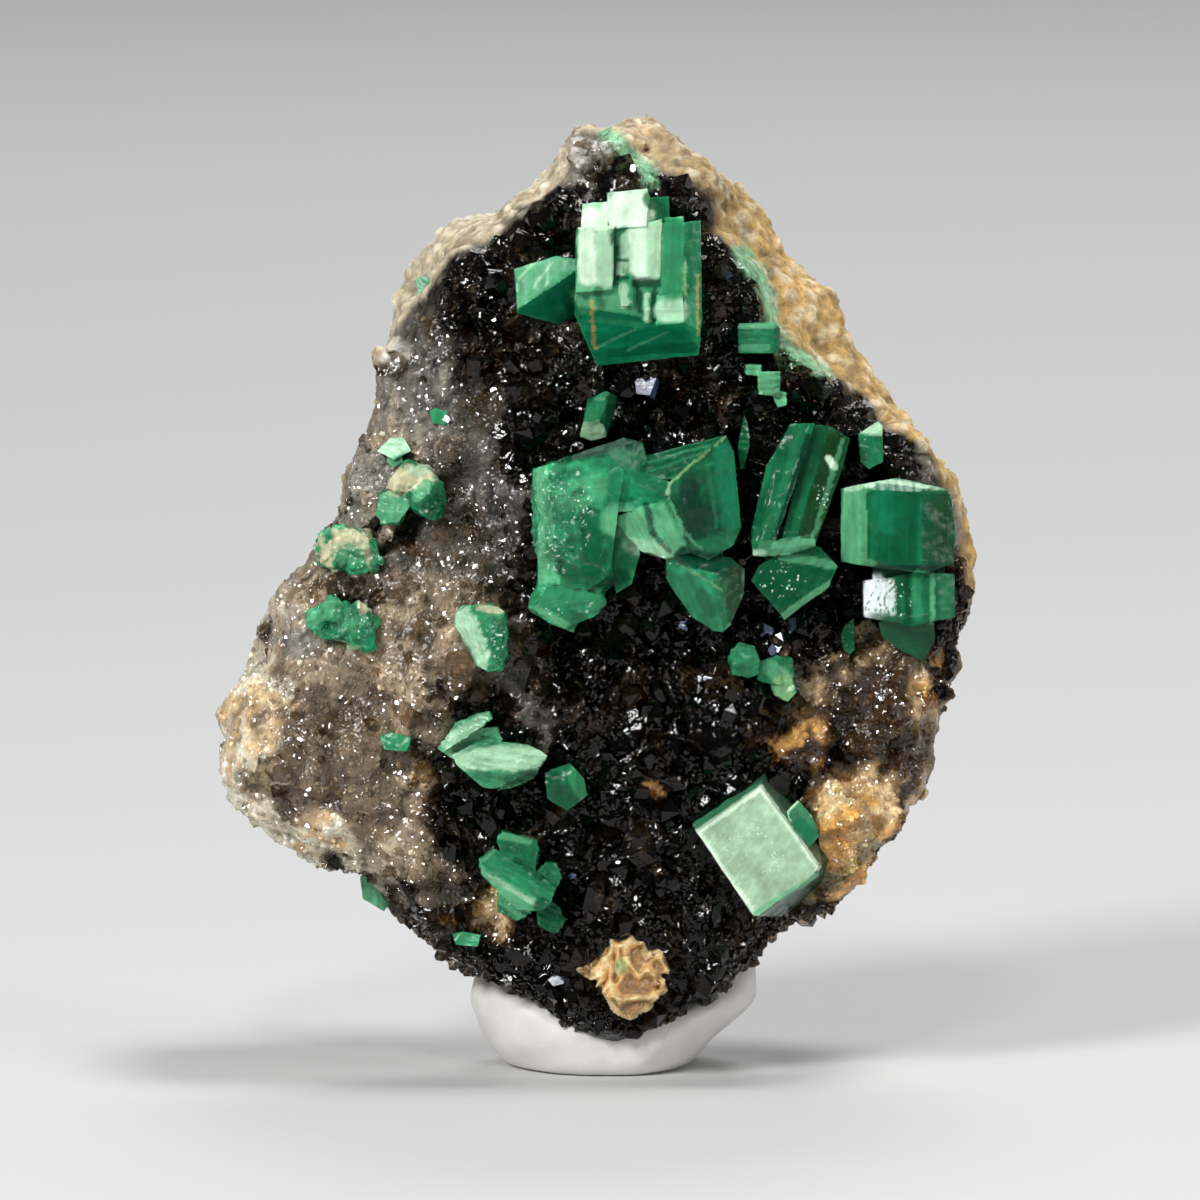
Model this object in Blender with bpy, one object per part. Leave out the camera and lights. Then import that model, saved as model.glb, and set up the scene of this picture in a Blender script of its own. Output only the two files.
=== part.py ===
"""Torbernite specimen: green crystals on a quartz druse over weathered rock, standing in a lump of putty.

Lengths are in millimetres until a mesh is written, where MM turns them into metres. The rock and its
crystals are measured in a frame of their own, which leans back a little from the upright: across, depth
and up, with the face of the specimen looking towards -depth. Up is counted from the putty's near edge.
"""

import math
import random

import bmesh
import bpy
from mathutils import Matrix, Vector, noise

MM = 0.001
GAP = 0.3  # left between two bodies that touch

LEAN = math.radians(6)  # how far the face of the rock leans back
ROCK_SET = -2.0  # depth of the rock's middle plane, which brings its weight over the putty's foot
NEAR_EDGE = 0.45  # height of the putty's near edge in the rock's frame
TOWARDS = Vector((0, -1, 0))  # out of the face of the rock

ROCK_MIDDLE = (-0.3, 16.5)  # both outlines below are seen whole from here
ROCK_OUTLINE = [
    (0.0, 32.05), (1.6, 32.4), (2.2, 31.6), (3.2, 31.05), (4.5, 30.15), (5.4, 29.4), (6.3, 27.3),
    (7.4, 26.4), (8.5, 24.5), (9.9, 23.0), (10.4, 21.8), (11.9, 20.1), (12.2, 19.3), (12.15, 17.0),
    (11.9, 15.0), (11.3, 13.6), (11.55, 13.2), (10.75, 11.4), (10.5, 9.6), (9.6, 8.2), (7.9, 6.1),
    (5.7, 4.9), (5.0, 4.1), (3.8, 2.8), (2.0, 1.6), (0.0, 0.8), (-1.0, 1.4), (-3.0, 2.9), (-4.7, 3.6),
    (-6.0, 4.5), (-6.6, 5.5), (-8.6, 7.0), (-10.3, 7.75), (-11.7, 8.4), (-13.15, 9.75), (-12.75, 11.7),
    (-12.9, 12.9), (-11.65, 14.2), (-11.3, 15.9), (-10.5, 17.1), (-9.8, 17.4), (-9.1, 18.7),
    (-9.0, 20.0), (-7.9, 22.2), (-7.95, 24.3), (-7.2, 25.0), (-7.3, 26.4), (-6.4, 28.1), (-4.9, 28.75),
    (-2.6, 29.8), (-1.25, 31.0), (-1.0, 31.7),
]  # across and up, clockwise from the top
DRUSE_OUTLINE = [
    (0.0, 32.0), (1.0, 30.9), (2.1, 30.6), (3.6, 29.7), (3.5, 28.7), (5.1, 27.0), (5.5, 25.4),
    (6.8, 24.1), (8.7, 22.9), (10.3, 21.3), (11.7, 19.6), (12.0, 18.6), (12.4, 15.0), (11.8, 10.0),
    (8.4, 5.6), (0.0, 0.2), (-6.4, 4.0), (-13.6, 9.4), (-13.2, 13.4), (-9.5, 19.5), (-8.1, 23.0),
    (-7.0, 25.2), (-6.0, 26.4), (-5.2, 27.6), (-3.8, 28.3), (-2.4, 29.4), (-1.3, 30.4), (-1.1, 31.9),
]  # where the dark quartz crust ends, which is past the rock except along the top
ROCK_DETAIL = 4  # icosphere subdivisions, one more over the face
FINE_SHARE = 0.7  # of the surface, from the middle of the face, that gets the finer mesh
FACE_SHARE = 0.66  # of the surface, given to the face
FLAT_SHARE = 0.62  # of the face, given to its flat part
FLAT_REACH = 0.93  # how far out the flat part goes
FACE_DEPTH = -2.4  # at the edge of the flat part
DOME = 2.2  # how much further the middle stands out
RIND_STEP = 2.6  # how far the weathered rock lies behind the druse
RIM_DEPTH = 1.4  # of the widest part of the edge
RIM_SWING = 1.0  # how much that wanders
RIM_TOP = 1.2  # and how much further back it lies at the top
BACK_DEPTH = 6.6
BACK_FALL = 1.3  # from the middle of the back to its outline
BACK_REACH = 0.8  # how far out the back is nearly flat
LUMPS = [
    (-10.6, 11.0, 3.2, 1.0), (-10.0, 15.6, 2.2, 0.7), (-5.8, 14.8, 2.0, 0.9), (-7.6, 20.5, 1.8, 0.6),
    (-5.0, 20.6, 2.0, 0.5), (-1.0, 12.5, 2.0, 0.5), (4.0, 12.7, 1.7, 0.8), (1.5, 22.8, 2.2, -0.8),
    (1.0, 15.5, 2.5, -0.6), (7.6, 16.2, 1.4, -0.9), (8.2, 9.0, 1.8, 0.8), (9.8, 12.8, 1.6, 0.5),
    (6.8, 11.0, 1.3, 0.5), (0.0, 7.5, 3.0, -0.4), (4.3, 26.6, 1.4, 0.4), (-6.5, 6.8, 1.6, 0.4),
]  # across, up, radius and height of each swelling or hollow

BREAKS = [
    ((6.0, 4.8, 20.0), (0.4, 0.9, 0.2)), ((-4.0, 5.0, 22.0), (-0.4, 0.88, 0.25)),
    ((-5.0, 4.6, 9.0), (-0.3, 0.85, -0.42)), ((5.0, 4.6, 9.5), (0.35, 0.85, -0.4)),
    ((0.0, 5.0, 27.5), (0.05, 0.85, 0.5)), ((0.0, 5.8, 16.0), (0.1, 0.99, -0.05)),
]  # a point on each flat break of the back, and which way the break faces

SEAT_TOP = 5.4  # the rock's back and edge are smooth below this, where the putty holds it
FACE_SEAT_TOP = 3.0  # the same for its face, which hangs over the putty
SEAT_BLEND = 1.0
BROAD_LUMP = 0.5
FINE_LUMP = 0.42
LEDGE_HEIGHT = 0.34  # half the step between two ledges of the weathered rock
LEDGE_PITCH = 2.9
DRUSE_POINT = (0.3, 0.75)  # least and most height of the small quartz points
LOBE_POINT = (0.12, 0.3)  # on the fine-grained lobe at the lower left
LOBE_EDGE = -7.0
POINT_SPREAD = 0.18  # how far a point strays sideways
DRUSE_MARGIN = 0.5  # left free of points inside the druse's outline

QUARTZ = [
    (-0.75, 31.0, 0.6, 0.7, -12, 12), (3.75, 12.35, 1.2, 0.5, 22, -14), (1.3, 23.4, 0.62, 0.8, 5, 32),
    (5.75, 14.9, 0.6, 0.8, -8, -24), (7.55, 18.6, 0.36, 0.9, 0, 8), (-7.3, 24.1, 0.45, 0.5, -30, 12),
    (1.6, 7.0, 0.55, 0.7, 12, 6), (-2.75, 14.85, 0.52, 1.1, 24, 0), (-1.9, 28.9, 0.6, 0.9, -24, 12),
    (8.0, 9.0, 0.75, 0.7, 28, 0), (9.6, 12.6, 0.7, 0.8, 30, -8), (6.9, 23.2, 0.6, 0.8, 22, 24),
    (-5.0, 21.1, 0.75, 0.8, -14, 10), (-10.9, 10.6, 0.8, 0.6, -26, -6), (-6.0, 13.2, 0.7, 0.8, -12, -18),
]  # across, up, radius, how proud, turned right and nodded up in degrees, of the larger quartz points
QUARTZ_ROOT = 1.6  # how far a column reaches into the rock
QUARTZ_TAPER = 0.92
QUARTZ_TIP = 0.8  # height of the pointed end, in radii
SCATTERED_QUARTZ = 10
CRYSTAL_REACH = 1.1  # kept clear of scattered columns around a green crystal

PUTTY_MIDDLE = (0.25, 2.6)
PUTTY_OUTLINE = [
    (0.0, 6.6), (3.0, 6.1), (4.7, 5.2), (5.2, 4.0), (5.3, 2.8), (4.6, 1.85), (3.4, 1.2), (2.9, 0.4),
    (1.4, -0.9), (-1.8, -0.9), (-3.4, 0.3), (-4.4, 1.6), (-4.9, 3.0), (-4.75, 3.9), (-4.3, 5.0), (-2.8, 6.1),
]
PUTTY_DEPTH = 0.45  # of its middle
PUTTY_HALF_DEPTH = 4.5
PUTTY_DENT = 0.075  # share by which thumb marks swell or sink it
PUTTY_DETAIL = 3
PUTTY_SEAT = 0.4  # how far the seat stays clear of the rock

PATCH_OUTLINE = [
    (-0.9, 3.8), (-0.3, 4.25), (0.3, 4.85), (0.9, 4.85), (1.3, 4.6), (1.35, 4.2), (1.55, 4.45),
    (2.05, 4.2), (2.15, 3.9), (1.85, 3.5), (2.0, 3.1), (1.7, 3.0), (1.55, 2.6), (0.8, 2.15), (0.3, 2.4),
    (0.0, 3.0), (-0.5, 3.5),
]
PATCH_POCKET = [
    (-0.9, 3.8), (0.3, 4.85), (0.9, 4.85), (2.05, 4.2), (2.15, 3.9), (1.55, 2.6), (0.8, 2.15), (0.3, 2.4),
]
PATCH_PROUD = 0.35  # of the rock
PATCH_SUNK = 0.7

GREEN = (0.03, 0.3, 0.14)
PALE_GREEN = (0.45, 0.78, 0.6)
DARK_GREEN = (0.01, 0.17, 0.08)


def wipe_scene():
    for obj in list(bpy.data.objects):
        bpy.data.objects.remove(obj, do_unlink=True)


def new_collection(name):
    made = bpy.data.collections.new(name)
    bpy.context.scene.collection.children.link(made)
    return made


def new_material(name, colour, roughness):
    made = bpy.data.materials.new(name)
    made.use_nodes = True
    shader = made.node_tree.nodes["Principled BSDF"]
    shader.inputs["Base Color"].default_value = (*colour, 1)
    shader.inputs["Roughness"].default_value = roughness
    made.diffuse_color = (*colour, 1)
    return made


def add_object(name, bm, collection, parent=None, at=(0, 0, 0), material=None):
    """Writes a mesh drawn in millimetres about the point at, and frees it."""
    mesh = bpy.data.meshes.new(name)
    bmesh.ops.transform(bm, matrix=Matrix.Scale(MM, 4) @ Matrix.Translation(-Vector(at)), verts=bm.verts)
    bm.to_mesh(mesh)
    bm.free()
    obj = bpy.data.objects.new(name, mesh)
    obj.location = Vector(at) * MM
    obj.parent = parent
    collection.objects.link(obj)
    if material:
        mesh.materials.append(material)
    return obj


def as_cutter(obj):
    obj.hide_render = True
    obj.display_type = "WIRE"
    return obj


def add_boolean(obj, operation, other):
    made = obj.modifiers.new(operation.lower() + "_" + other.name, "BOOLEAN")
    made.operation = operation
    made.solver = "EXACT"
    made.object = other


def smooth_step(low, high, value):
    share = min(max((value - low) / (high - low), 0.0), 1.0)
    return share * share * (3 - 2 * share)


def reach(outline, middle, angle):
    """How far the outline lies from the middle in this direction."""
    ray = Vector((math.cos(angle), math.sin(angle)))
    for start, end in zip(outline, outline[1:] + outline[:1]):
        from_middle = Vector(start) - Vector(middle)
        edge = Vector(end) - Vector(start)
        spread = ray.x * edge.y - ray.y * edge.x
        if abs(spread) < 1e-9:
            continue
        along_ray = (from_middle.x * edge.y - from_middle.y * edge.x) / spread
        along_edge = (from_middle.x * ray.y - from_middle.y * ray.x) / spread
        if along_ray > 0 and -1e-6 <= along_edge <= 1 + 1e-6:
            return along_ray
    return 0.0


def rim_depth(angle):
    """Depth of the rock's edge, which lies further back along the top."""
    wave = noise.noise(Vector((2 * math.cos(angle), 2 * math.sin(angle), 5.3)))
    return RIM_DEPTH + RIM_SWING * wave + RIM_TOP * max(math.sin(angle), 0.0)


def rock_face(across, up):
    """Depth of the rock's face in front of the point across and up, without its grain."""
    offset = Vector((across - ROCK_MIDDLE[0], up - ROCK_MIDDLE[1]))
    angle = math.atan2(offset.y, offset.x)
    full = reach(ROCK_OUTLINE, ROCK_MIDDLE, angle)
    share = min(offset.length / full, 1.0)
    depth = FACE_DEPTH - DOME * (1 - share * share)
    for lump_across, lump_up, radius, height in LUMPS:
        distance = math.hypot(across - lump_across, up - lump_up) / radius
        depth -= height * math.exp(-1.4 * distance * distance)
    past_druse = offset.length - reach(DRUSE_OUTLINE, ROCK_MIDDLE, angle)
    depth += RIND_STEP * smooth_step(-0.35, 0.45, past_druse) + 0.35 * max(past_druse, 0.0)
    rounding = smooth_step(FLAT_REACH, 1.0, share)
    return depth + (rim_depth(angle) - depth) * rounding * rounding


def rock_point(direction, swell=0.0):
    """Where a point of the unit sphere goes on the rock. The sphere's -Y pole is the middle of the face."""
    angle = math.atan2(direction.z, direction.x)
    full = reach(ROCK_OUTLINE, ROCK_MIDDLE, angle) + swell
    rim = rim_depth(angle)
    share = (1 + direction.y) / 2
    if share < FACE_SHARE:
        share /= FACE_SHARE
        if share < FLAT_SHARE:
            out = FLAT_REACH * math.sqrt(share / FLAT_SHARE)
            depth = None
        else:
            turn = (share - FLAT_SHARE) / (1 - FLAT_SHARE) * math.pi / 2
            out = FLAT_REACH + (1 - FLAT_REACH) * math.sin(turn)
            depth = math.cos(turn)
        across = ROCK_MIDDLE[0] + out * full * math.cos(angle)
        up = ROCK_MIDDLE[1] + out * full * math.sin(angle)
        if depth is None:
            return Vector((across, rock_face(across, up) - swell, up))
        edge = FLAT_REACH * (full - swell)
        edge_across = ROCK_MIDDLE[0] + edge * math.cos(angle)
        edge_depth = rock_face(edge_across, ROCK_MIDDLE[1] + edge * math.sin(angle))
        return Vector((across, rim + (edge_depth - swell - rim) * depth, up))
    share = (1 - share) / (1 - FACE_SHARE)
    if share < FLAT_SHARE:
        out = BACK_REACH * math.sqrt(share / FLAT_SHARE)
        depth = BACK_DEPTH - BACK_FALL * out * out
    else:
        turn = (share - FLAT_SHARE) / (1 - FLAT_SHARE) * math.pi / 2
        out = BACK_REACH + (1 - BACK_REACH) * math.sin(turn)
        depth = rim + (BACK_DEPTH - BACK_FALL * BACK_REACH * BACK_REACH - rim) * math.cos(turn)
    across = ROCK_MIDDLE[0] + out * full * math.cos(angle)
    up = ROCK_MIDDLE[1] + out * full * math.sin(angle)
    return Vector((across, depth + swell, up))


def rock_mesh(swell=0.0):
    """The smooth rock, swollen on every side when it is to cut a seat for itself."""
    bm = bmesh.new()
    bmesh.ops.create_icosphere(bm, subdivisions=ROCK_DETAIL, radius=1)
    near = [face for face in bm.faces if face.calc_center_median().y < 2 * FINE_SHARE - 1]
    fine = {edge for face in near for edge in face.edges}
    bmesh.ops.subdivide_edges(bm, edges=list(fine), cuts=1, use_grid_fill=True)
    bmesh.ops.triangulate(bm, faces=[face for face in bm.faces if len(face.verts) > 3])
    for vert in bm.verts:
        vert.co = rock_point(vert.co.normalized(), swell)
        for point, normal in BREAKS:
            normal = Vector(normal).normalized()
            vert.co -= normal * max((vert.co - Vector(point)).dot(normal) - swell, 0.0)
    bmesh.ops.recalc_face_normals(bm, faces=bm.faces)
    return bm


def roughen(bm):
    """Gives the rock its lumps and ledges, then raises quartz points from every few vertices of the druse."""
    chance = random.Random(11)
    bm.normal_update()
    moves = []
    for vert in bm.verts:
        above_seat = smooth_step(SEAT_TOP - SEAT_BLEND, SEAT_TOP + SEAT_BLEND, vert.co.z)
        broad = noise.noise(vert.co * 0.33 + Vector((3.1, 0, 0)))
        lumpy = noise.noise(vert.co * 0.85 + Vector((0, 7.7, 0)))
        level = (vert.co.z + 0.5 * vert.co.x) / LEDGE_PITCH + broad
        ledge = LEDGE_HEIGHT * math.copysign(1, math.sin(math.tau * level))
        behind = smooth_step(0.0, 0.5, vert.normal.y)
        moves.append(vert.normal * above_seat * (BROAD_LUMP * broad + FINE_LUMP * lumpy + behind * ledge))
    for vert, move in zip(bm.verts, moves):
        vert.co += move
    bm.normal_update()
    raised = set()
    for vert in bm.verts:
        height = chance.random()
        aside = Vector((chance.uniform(-1, 1), chance.uniform(-0.4, 0.4), chance.uniform(-1, 1)))
        near = [edge.other_vert(vert).index for edge in vert.link_edges]
        lowest = FACE_SEAT_TOP if vert.normal.y < -0.8 else SEAT_TOP
        if vert.co.z < lowest + SEAT_BLEND or raised.intersection(near):
            continue
        offset = Vector((vert.co.x - ROCK_MIDDLE[0], vert.co.z - ROCK_MIDDLE[1]))
        inside = reach(DRUSE_OUTLINE, ROCK_MIDDLE, math.atan2(offset.y, offset.x)) - offset.length
        if inside < DRUSE_MARGIN or vert.normal.y > -0.15:
            continue
        low, high = LOBE_POINT if vert.co.x < LOBE_EDGE else DRUSE_POINT
        raised.add(vert.index)
        vert.co += vert.normal * (low + (high - low) * height) + aside * POINT_SPREAD


def quartz_column(across, up, radius, proud, turn, nod):
    """A six-sided column with a pointed end, rooted in the rock."""
    bm = bmesh.new()
    length = QUARTZ_ROOT + proud
    bmesh.ops.create_cone(
        bm, cap_ends=True, segments=6, radius1=radius, radius2=QUARTZ_TAPER * radius, depth=length
    )
    top = max(bm.faces, key=lambda face: face.calc_center_median().z)
    bmesh.ops.poke(bm, faces=[top], offset=QUARTZ_TIP * radius, use_relative_offset=False)
    bmesh.ops.translate(bm, vec=(0, 0, (proud - QUARTZ_ROOT) / 2), verts=bm.verts)
    lean = Matrix.Rotation(math.radians(turn), 4, "Z") @ Matrix.Rotation(math.radians(90 - nod), 4, "X")
    place = Matrix.Translation((across, rock_face(across, up), up))
    bmesh.ops.transform(bm, matrix=place @ lean @ Matrix.Rotation(across + up, 4, "Z"), verts=bm.verts)
    return bm


def scattered_quartz(kept_clear):
    """More columns over the dark druse, clear of the green crystals and of each other."""
    chance = random.Random(23)
    places = []
    while len(places) < SCATTERED_QUARTZ:
        across = chance.uniform(-9.5, 11.0)
        up = chance.uniform(6.8, 30.0)
        radius = chance.uniform(0.38, 0.72)
        offset = Vector((across - ROCK_MIDDLE[0], up - ROCK_MIDDLE[1]))
        inside = reach(DRUSE_OUTLINE, ROCK_MIDDLE, math.atan2(offset.y, offset.x)) - offset.length
        rest = (chance.uniform(0.35, 0.75), chance.uniform(-35, 35), chance.uniform(-30, 35))
        taken = kept_clear + places
        if inside > 1.3 and all(math.hypot(across - a, up - u) > radius + r for a, u, r, *_ in taken):
            places.append((across, up, radius, *rest))
    return places


def facing(turn, nod):
    """A direction out of the face, turned right and nodded up by these degrees."""
    turn = math.radians(turn)
    nod = math.radians(nod)
    return Vector((math.sin(turn) * math.cos(nod), -math.cos(turn) * math.cos(nod), math.sin(nod)))


def middle_of(outline):
    return Vector((sum(p[0] for p in outline) / len(outline), sum(p[1] for p in outline) / len(outline)))


def block(outline, stand, turn=0.0, nod=0.0, flare=0.0, facets=(), sink=1.4):
    """The planes of one crystal: its outline as seen, its front, its sides and the facets that cut the front.

    The front stands this proud of the rock, turned right and nodded up in degrees. The sides spread
    backwards by the flare, one for all or one for each side. A facet starts at a line across the front
    and falls away to the right of it, seen along the line, at its dip in degrees.
    """
    middle = middle_of(outline)
    ground = rock_face(*middle)
    normal = facing(turn, nod)
    centre = Vector((middle.x, ground - stand, middle.y))

    def on_front(point):
        across = point[0] - centre.x
        up = point[1] - centre.z
        return Vector((point[0], centre.y - (normal.x * across + normal.z * up) / normal.y, point[1]))

    planes = [(centre, normal), (Vector((middle.x, ground + sink, middle.y)), -TOWARDS)]
    flares = flare if isinstance(flare, (list, tuple)) else [flare] * len(outline)
    for start, end, spread in zip(outline, outline[1:] + outline[:1], flares):
        edge = on_front(end) - on_front(start)
        outward = edge.cross(TOWARDS).normalized()
        if outward.dot(centre - on_front(start)) > 0:
            outward.negate()
        spread = math.radians(spread)
        planes.append((on_front(start), outward * math.cos(spread) + TOWARDS * math.sin(spread)))
    for start, end, dip in facets:
        edge = on_front(end) - on_front(start)
        right = edge.cross(TOWARDS).normalized()
        dip = math.radians(dip)
        planes.append((on_front(start), right * math.sin(dip) + TOWARDS * math.cos(dip)))
    return planes


def carve(planes, grow=0.0):
    """The convex solid behind all the planes, each moved outwards by grow."""
    bm = bmesh.new()
    bmesh.ops.create_cube(bm, size=60, matrix=Matrix.Translation(planes[0][0]))
    for point, normal in planes:
        cut = bmesh.ops.bisect_plane(
            bm,
            geom=bm.verts[:] + bm.edges[:] + bm.faces[:],
            dist=1e-5,
            plane_co=point + normal * grow,
            plane_no=normal,
            clear_outer=True,
        )
        rim = [part for part in cut["geom_cut"] if isinstance(part, bmesh.types.BMEdge)]
        if rim:
            bmesh.ops.edgeloop_fill(bm, edges=rim)
    bmesh.ops.remove_doubles(bm, verts=bm.verts, dist=1e-3)
    bmesh.ops.recalc_face_normals(bm, faces=bm.faces)
    return bm


def upper_cluster():
    """The big stepped block at the top, its two pale end blocks and the wedge on its left."""
    body = block(
        [(-1.0, 28.5), (3.15, 28.8), (3.2, 25.6), (3.1, 24.35), (-0.3, 24.0), (-1.05, 25.7)],
        2.7,
        facets=[
            ((-1.05, 25.95), (3.2, 25.3), 52),
            ((-0.5, 26.4), (-0.5, 24.2), 48),
            ((2.6, 25.3), (2.6, 28.8), 24),
        ],
    )
    return [
        body,
        block([(-0.95, 28.58), (0.3, 28.62), (0.25, 26.5), (-1.0, 26.4)], 3.2),
        block([(-0.78, 29.35), (0.06, 29.45), (0.06, 28.3), (-0.85, 28.2)], 2.9),
        block([(0.03, 29.72), (1.35, 29.85), (1.45, 29.6), (1.32, 28.62), (0.1, 28.5)], 3.4),
        block([(0.6, 28.5), (1.86, 28.84), (1.8, 26.8), (0.62, 26.8)], 3.0),
        block([(1.95, 28.9), (2.6, 28.95), (2.55, 26.6), (1.95, 26.7)], 2.85),
        block([(1.65, 26.3), (2.55, 26.4), (2.6, 25.4), (1.65, 25.3)], 2.95),
        block([(1.2, 26.4), (1.5, 26.4), (1.45, 25.5), (1.25, 25.45)], 2.85),
        block([(0.5, 27.0), (0.88, 27.0), (0.9, 25.95), (0.5, 25.95)], 2.9),
        block([(1.3, 29.6), (2.1, 29.65), (2.12, 28.6), (1.3, 28.6)], 1.9, turn=12, nod=12),
        block(
            [(-3.05, 27.2), (-1.65, 27.65), (-0.8, 27.5), (-0.8, 25.6), (-1.6, 25.4), (-2.95, 25.75)],
            2.2,
            turn=-8,
            nod=10,
            facets=[((-2.95, 25.85), (-1.4, 26.85), 58)],
        ),
    ]


def small_prism():
    return [
        block(
            [
                (-0.87, 21.62), (-0.48, 21.5), (0.0, 21.6), (0.2, 22.1), (0.35, 22.95), (0.0, 23.15),
                (-0.6, 22.85),
            ],
            1.3,
            nod=8,
            facets=[((-0.85, 22.15), (0.2, 22.15), 42), ((-0.45, 21.5), (-0.2, 22.5), 48)],
        )
    ]


def seam_block_upper():
    return [
        block(
            [(4.42, 25.42), (5.5, 25.48), (5.82, 25.25), (5.8, 24.6), (5.6, 24.42), (4.42, 24.42)],
            1.0,
            facets=[((5.62, 24.4), (5.62, 25.5), 58)],
        )
    ]


def seam_block_lower():
    return [
        block(
            [(5.07, 23.78), (5.82, 23.8), (5.8, 22.95), (5.1, 23.05)],
            1.1,
            facets=[((5.66, 22.9), (5.66, 23.9), 40)],
        ),
        block([(5.45, 23.2), (6.03, 23.1), (6.03, 22.68), (5.75, 22.62)], 0.9),
        block([(4.65, 24.05), (5.2, 24.05), (5.2, 23.65), (4.68, 23.7)], 0.7),
    ]


def central_cluster():
    """The rough plate, the wedge with its bright ridge and the three-faced crystal below it."""
    plate = [
        block(
            [
                (-2.45, 20.55), (0.0, 21.05), (0.6, 20.5), (0.12, 17.0), (-0.6, 16.5), (-2.0, 16.75),
                (-2.38, 18.5),
            ],
            2.3,
            turn=-3,
            nod=4,
            facets=[((-2.05, 16.6), (-2.12, 20.7), 0.5), ((-2.0, 20.8), (-2.0, 16.6), 34)],
        ),
        block(
            [(-2.25, 20.6), (0.62, 21.58), (1.22, 21.42), (1.36, 20.9), (1.2, 20.2), (-2.2, 20.0)],
            1.75,
            nod=14,
        ),
        block(
            [(0.0, 19.2), (0.6, 18.8), (0.98, 17.9), (0.92, 17.1), (0.3, 16.7), (-0.2, 16.4), (-0.5, 18.0)],
            1.5,
        ),
        block(
            [
                (-2.6, 15.9), (-2.0, 16.62), (-1.4, 16.66), (-0.1, 16.35), (0.0, 16.05), (-0.3, 15.72),
                (-1.4, 15.2),
            ],
            2.35,
            nod=-6,
            facets=[((-2.6, 16.0), (-1.2, 15.42), 40)],
        ),
        block(
            [(-0.4, 21.0), (0.7, 20.6), (2.4, 20.5), (2.0, 19.5), (1.2, 19.15), (-0.4, 19.05)],
            2.05,
            nod=6,
        ),
    ]
    wedge = [
        block(
            [
                (4.0, 21.65), (4.25, 21.1), (4.5, 18.6), (4.25, 18.0), (3.4, 17.5), (2.75, 17.75),
                (1.95, 19.6), (2.3, 20.45),
            ],
            2.3,
            turn=20,
            nod=-4,
        ),
        block([(1.32, 20.98), (3.95, 21.66), (3.1, 20.75), (2.3, 20.2), (1.25, 20.2)], 1.9, nod=24),
        block(
            [(0.1, 19.05), (1.3, 19.32), (2.0, 19.6), (2.85, 17.75), (2.0, 17.52), (1.1, 17.85)],
            2.2,
            turn=-16,
            nod=-8,
            facets=[((1.15, 19.35), (2.05, 17.6), 0.5)],
        ),
    ]
    three_faced = block(
        [
            (2.0, 17.62), (2.6, 17.9), (4.15, 17.58), (4.62, 17.2), (4.6, 16.4), (4.15, 15.35), (3.9, 15.1),
            (3.55, 15.15), (2.9, 15.6), (2.3, 16.4), (2.0, 16.9),
        ],
        2.3,
        turn=-14,
        nod=-12,
        facets=[((3.9, 16.45), (2.3, 17.5), 32), ((3.92, 15.1), (3.92, 16.5), 36)],
    )
    return plate + wedge + [three_faced]


def blade():
    return [
        block(
            [(4.62, 22.3), (4.78, 21.9), (4.78, 21.3), (4.62, 20.6), (4.48, 20.5), (4.4, 21.3)],
            1.1,
            turn=-25,
            nod=6,
        )
    ]


def striated_pair():
    """Two long blades side by side, leaning right, and the tablet that closes their lower end."""
    return [
        block(
            [
                (6.15, 22.02), (6.95, 22.06), (6.72, 21.2), (5.65, 18.1), (5.15, 17.64), (4.92, 17.66),
                (4.82, 18.4), (5.35, 20.6),
            ],
            1.9,
            turn=-8,
            nod=4,
            facets=[((5.9, 21.6), (4.9, 18.0), 34)],
        ),
        block(
            [
                (6.85, 22.06), (7.5, 21.95), (8.14, 21.55), (7.9, 20.6), (6.98, 18.0), (6.0, 17.74),
                (5.6, 18.0), (6.55, 20.9),
            ],
            1.75,
            turn=10,
            nod=4,
            facets=[((6.85, 17.9), (7.85, 21.6), 28)],
        ),
        block(
            [(5.1, 18.1), (6.9, 18.35), (6.98, 17.95), (6.0, 17.66), (5.2, 17.6), (4.95, 17.75)],
            2.1,
            nod=-18,
        ),
        block(
            [(4.86, 16.8), (5.1, 17.3), (5.9, 17.8), (7.1, 17.95), (7.72, 17.3), (7.42, 16.6), (5.95, 15.52)],
            2.2,
            turn=5,
            nod=-10,
            facets=[((7.1, 16.5), (5.95, 17.7), 0.5), ((5.9, 15.7), (7.45, 16.72), 46)],
        ),
    ]


def notched_block():
    return [
        block(
            [(8.44, 21.72), (9.1, 22.15), (9.25, 22.0), (9.25, 20.8), (8.78, 20.55), (8.5, 20.8)],
            1.3,
            turn=-6,
            facets=[((9.3, 21.72), (8.4, 21.52), 42), ((8.8, 20.4), (8.8, 22.0), 14)],
        )
    ]


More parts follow.
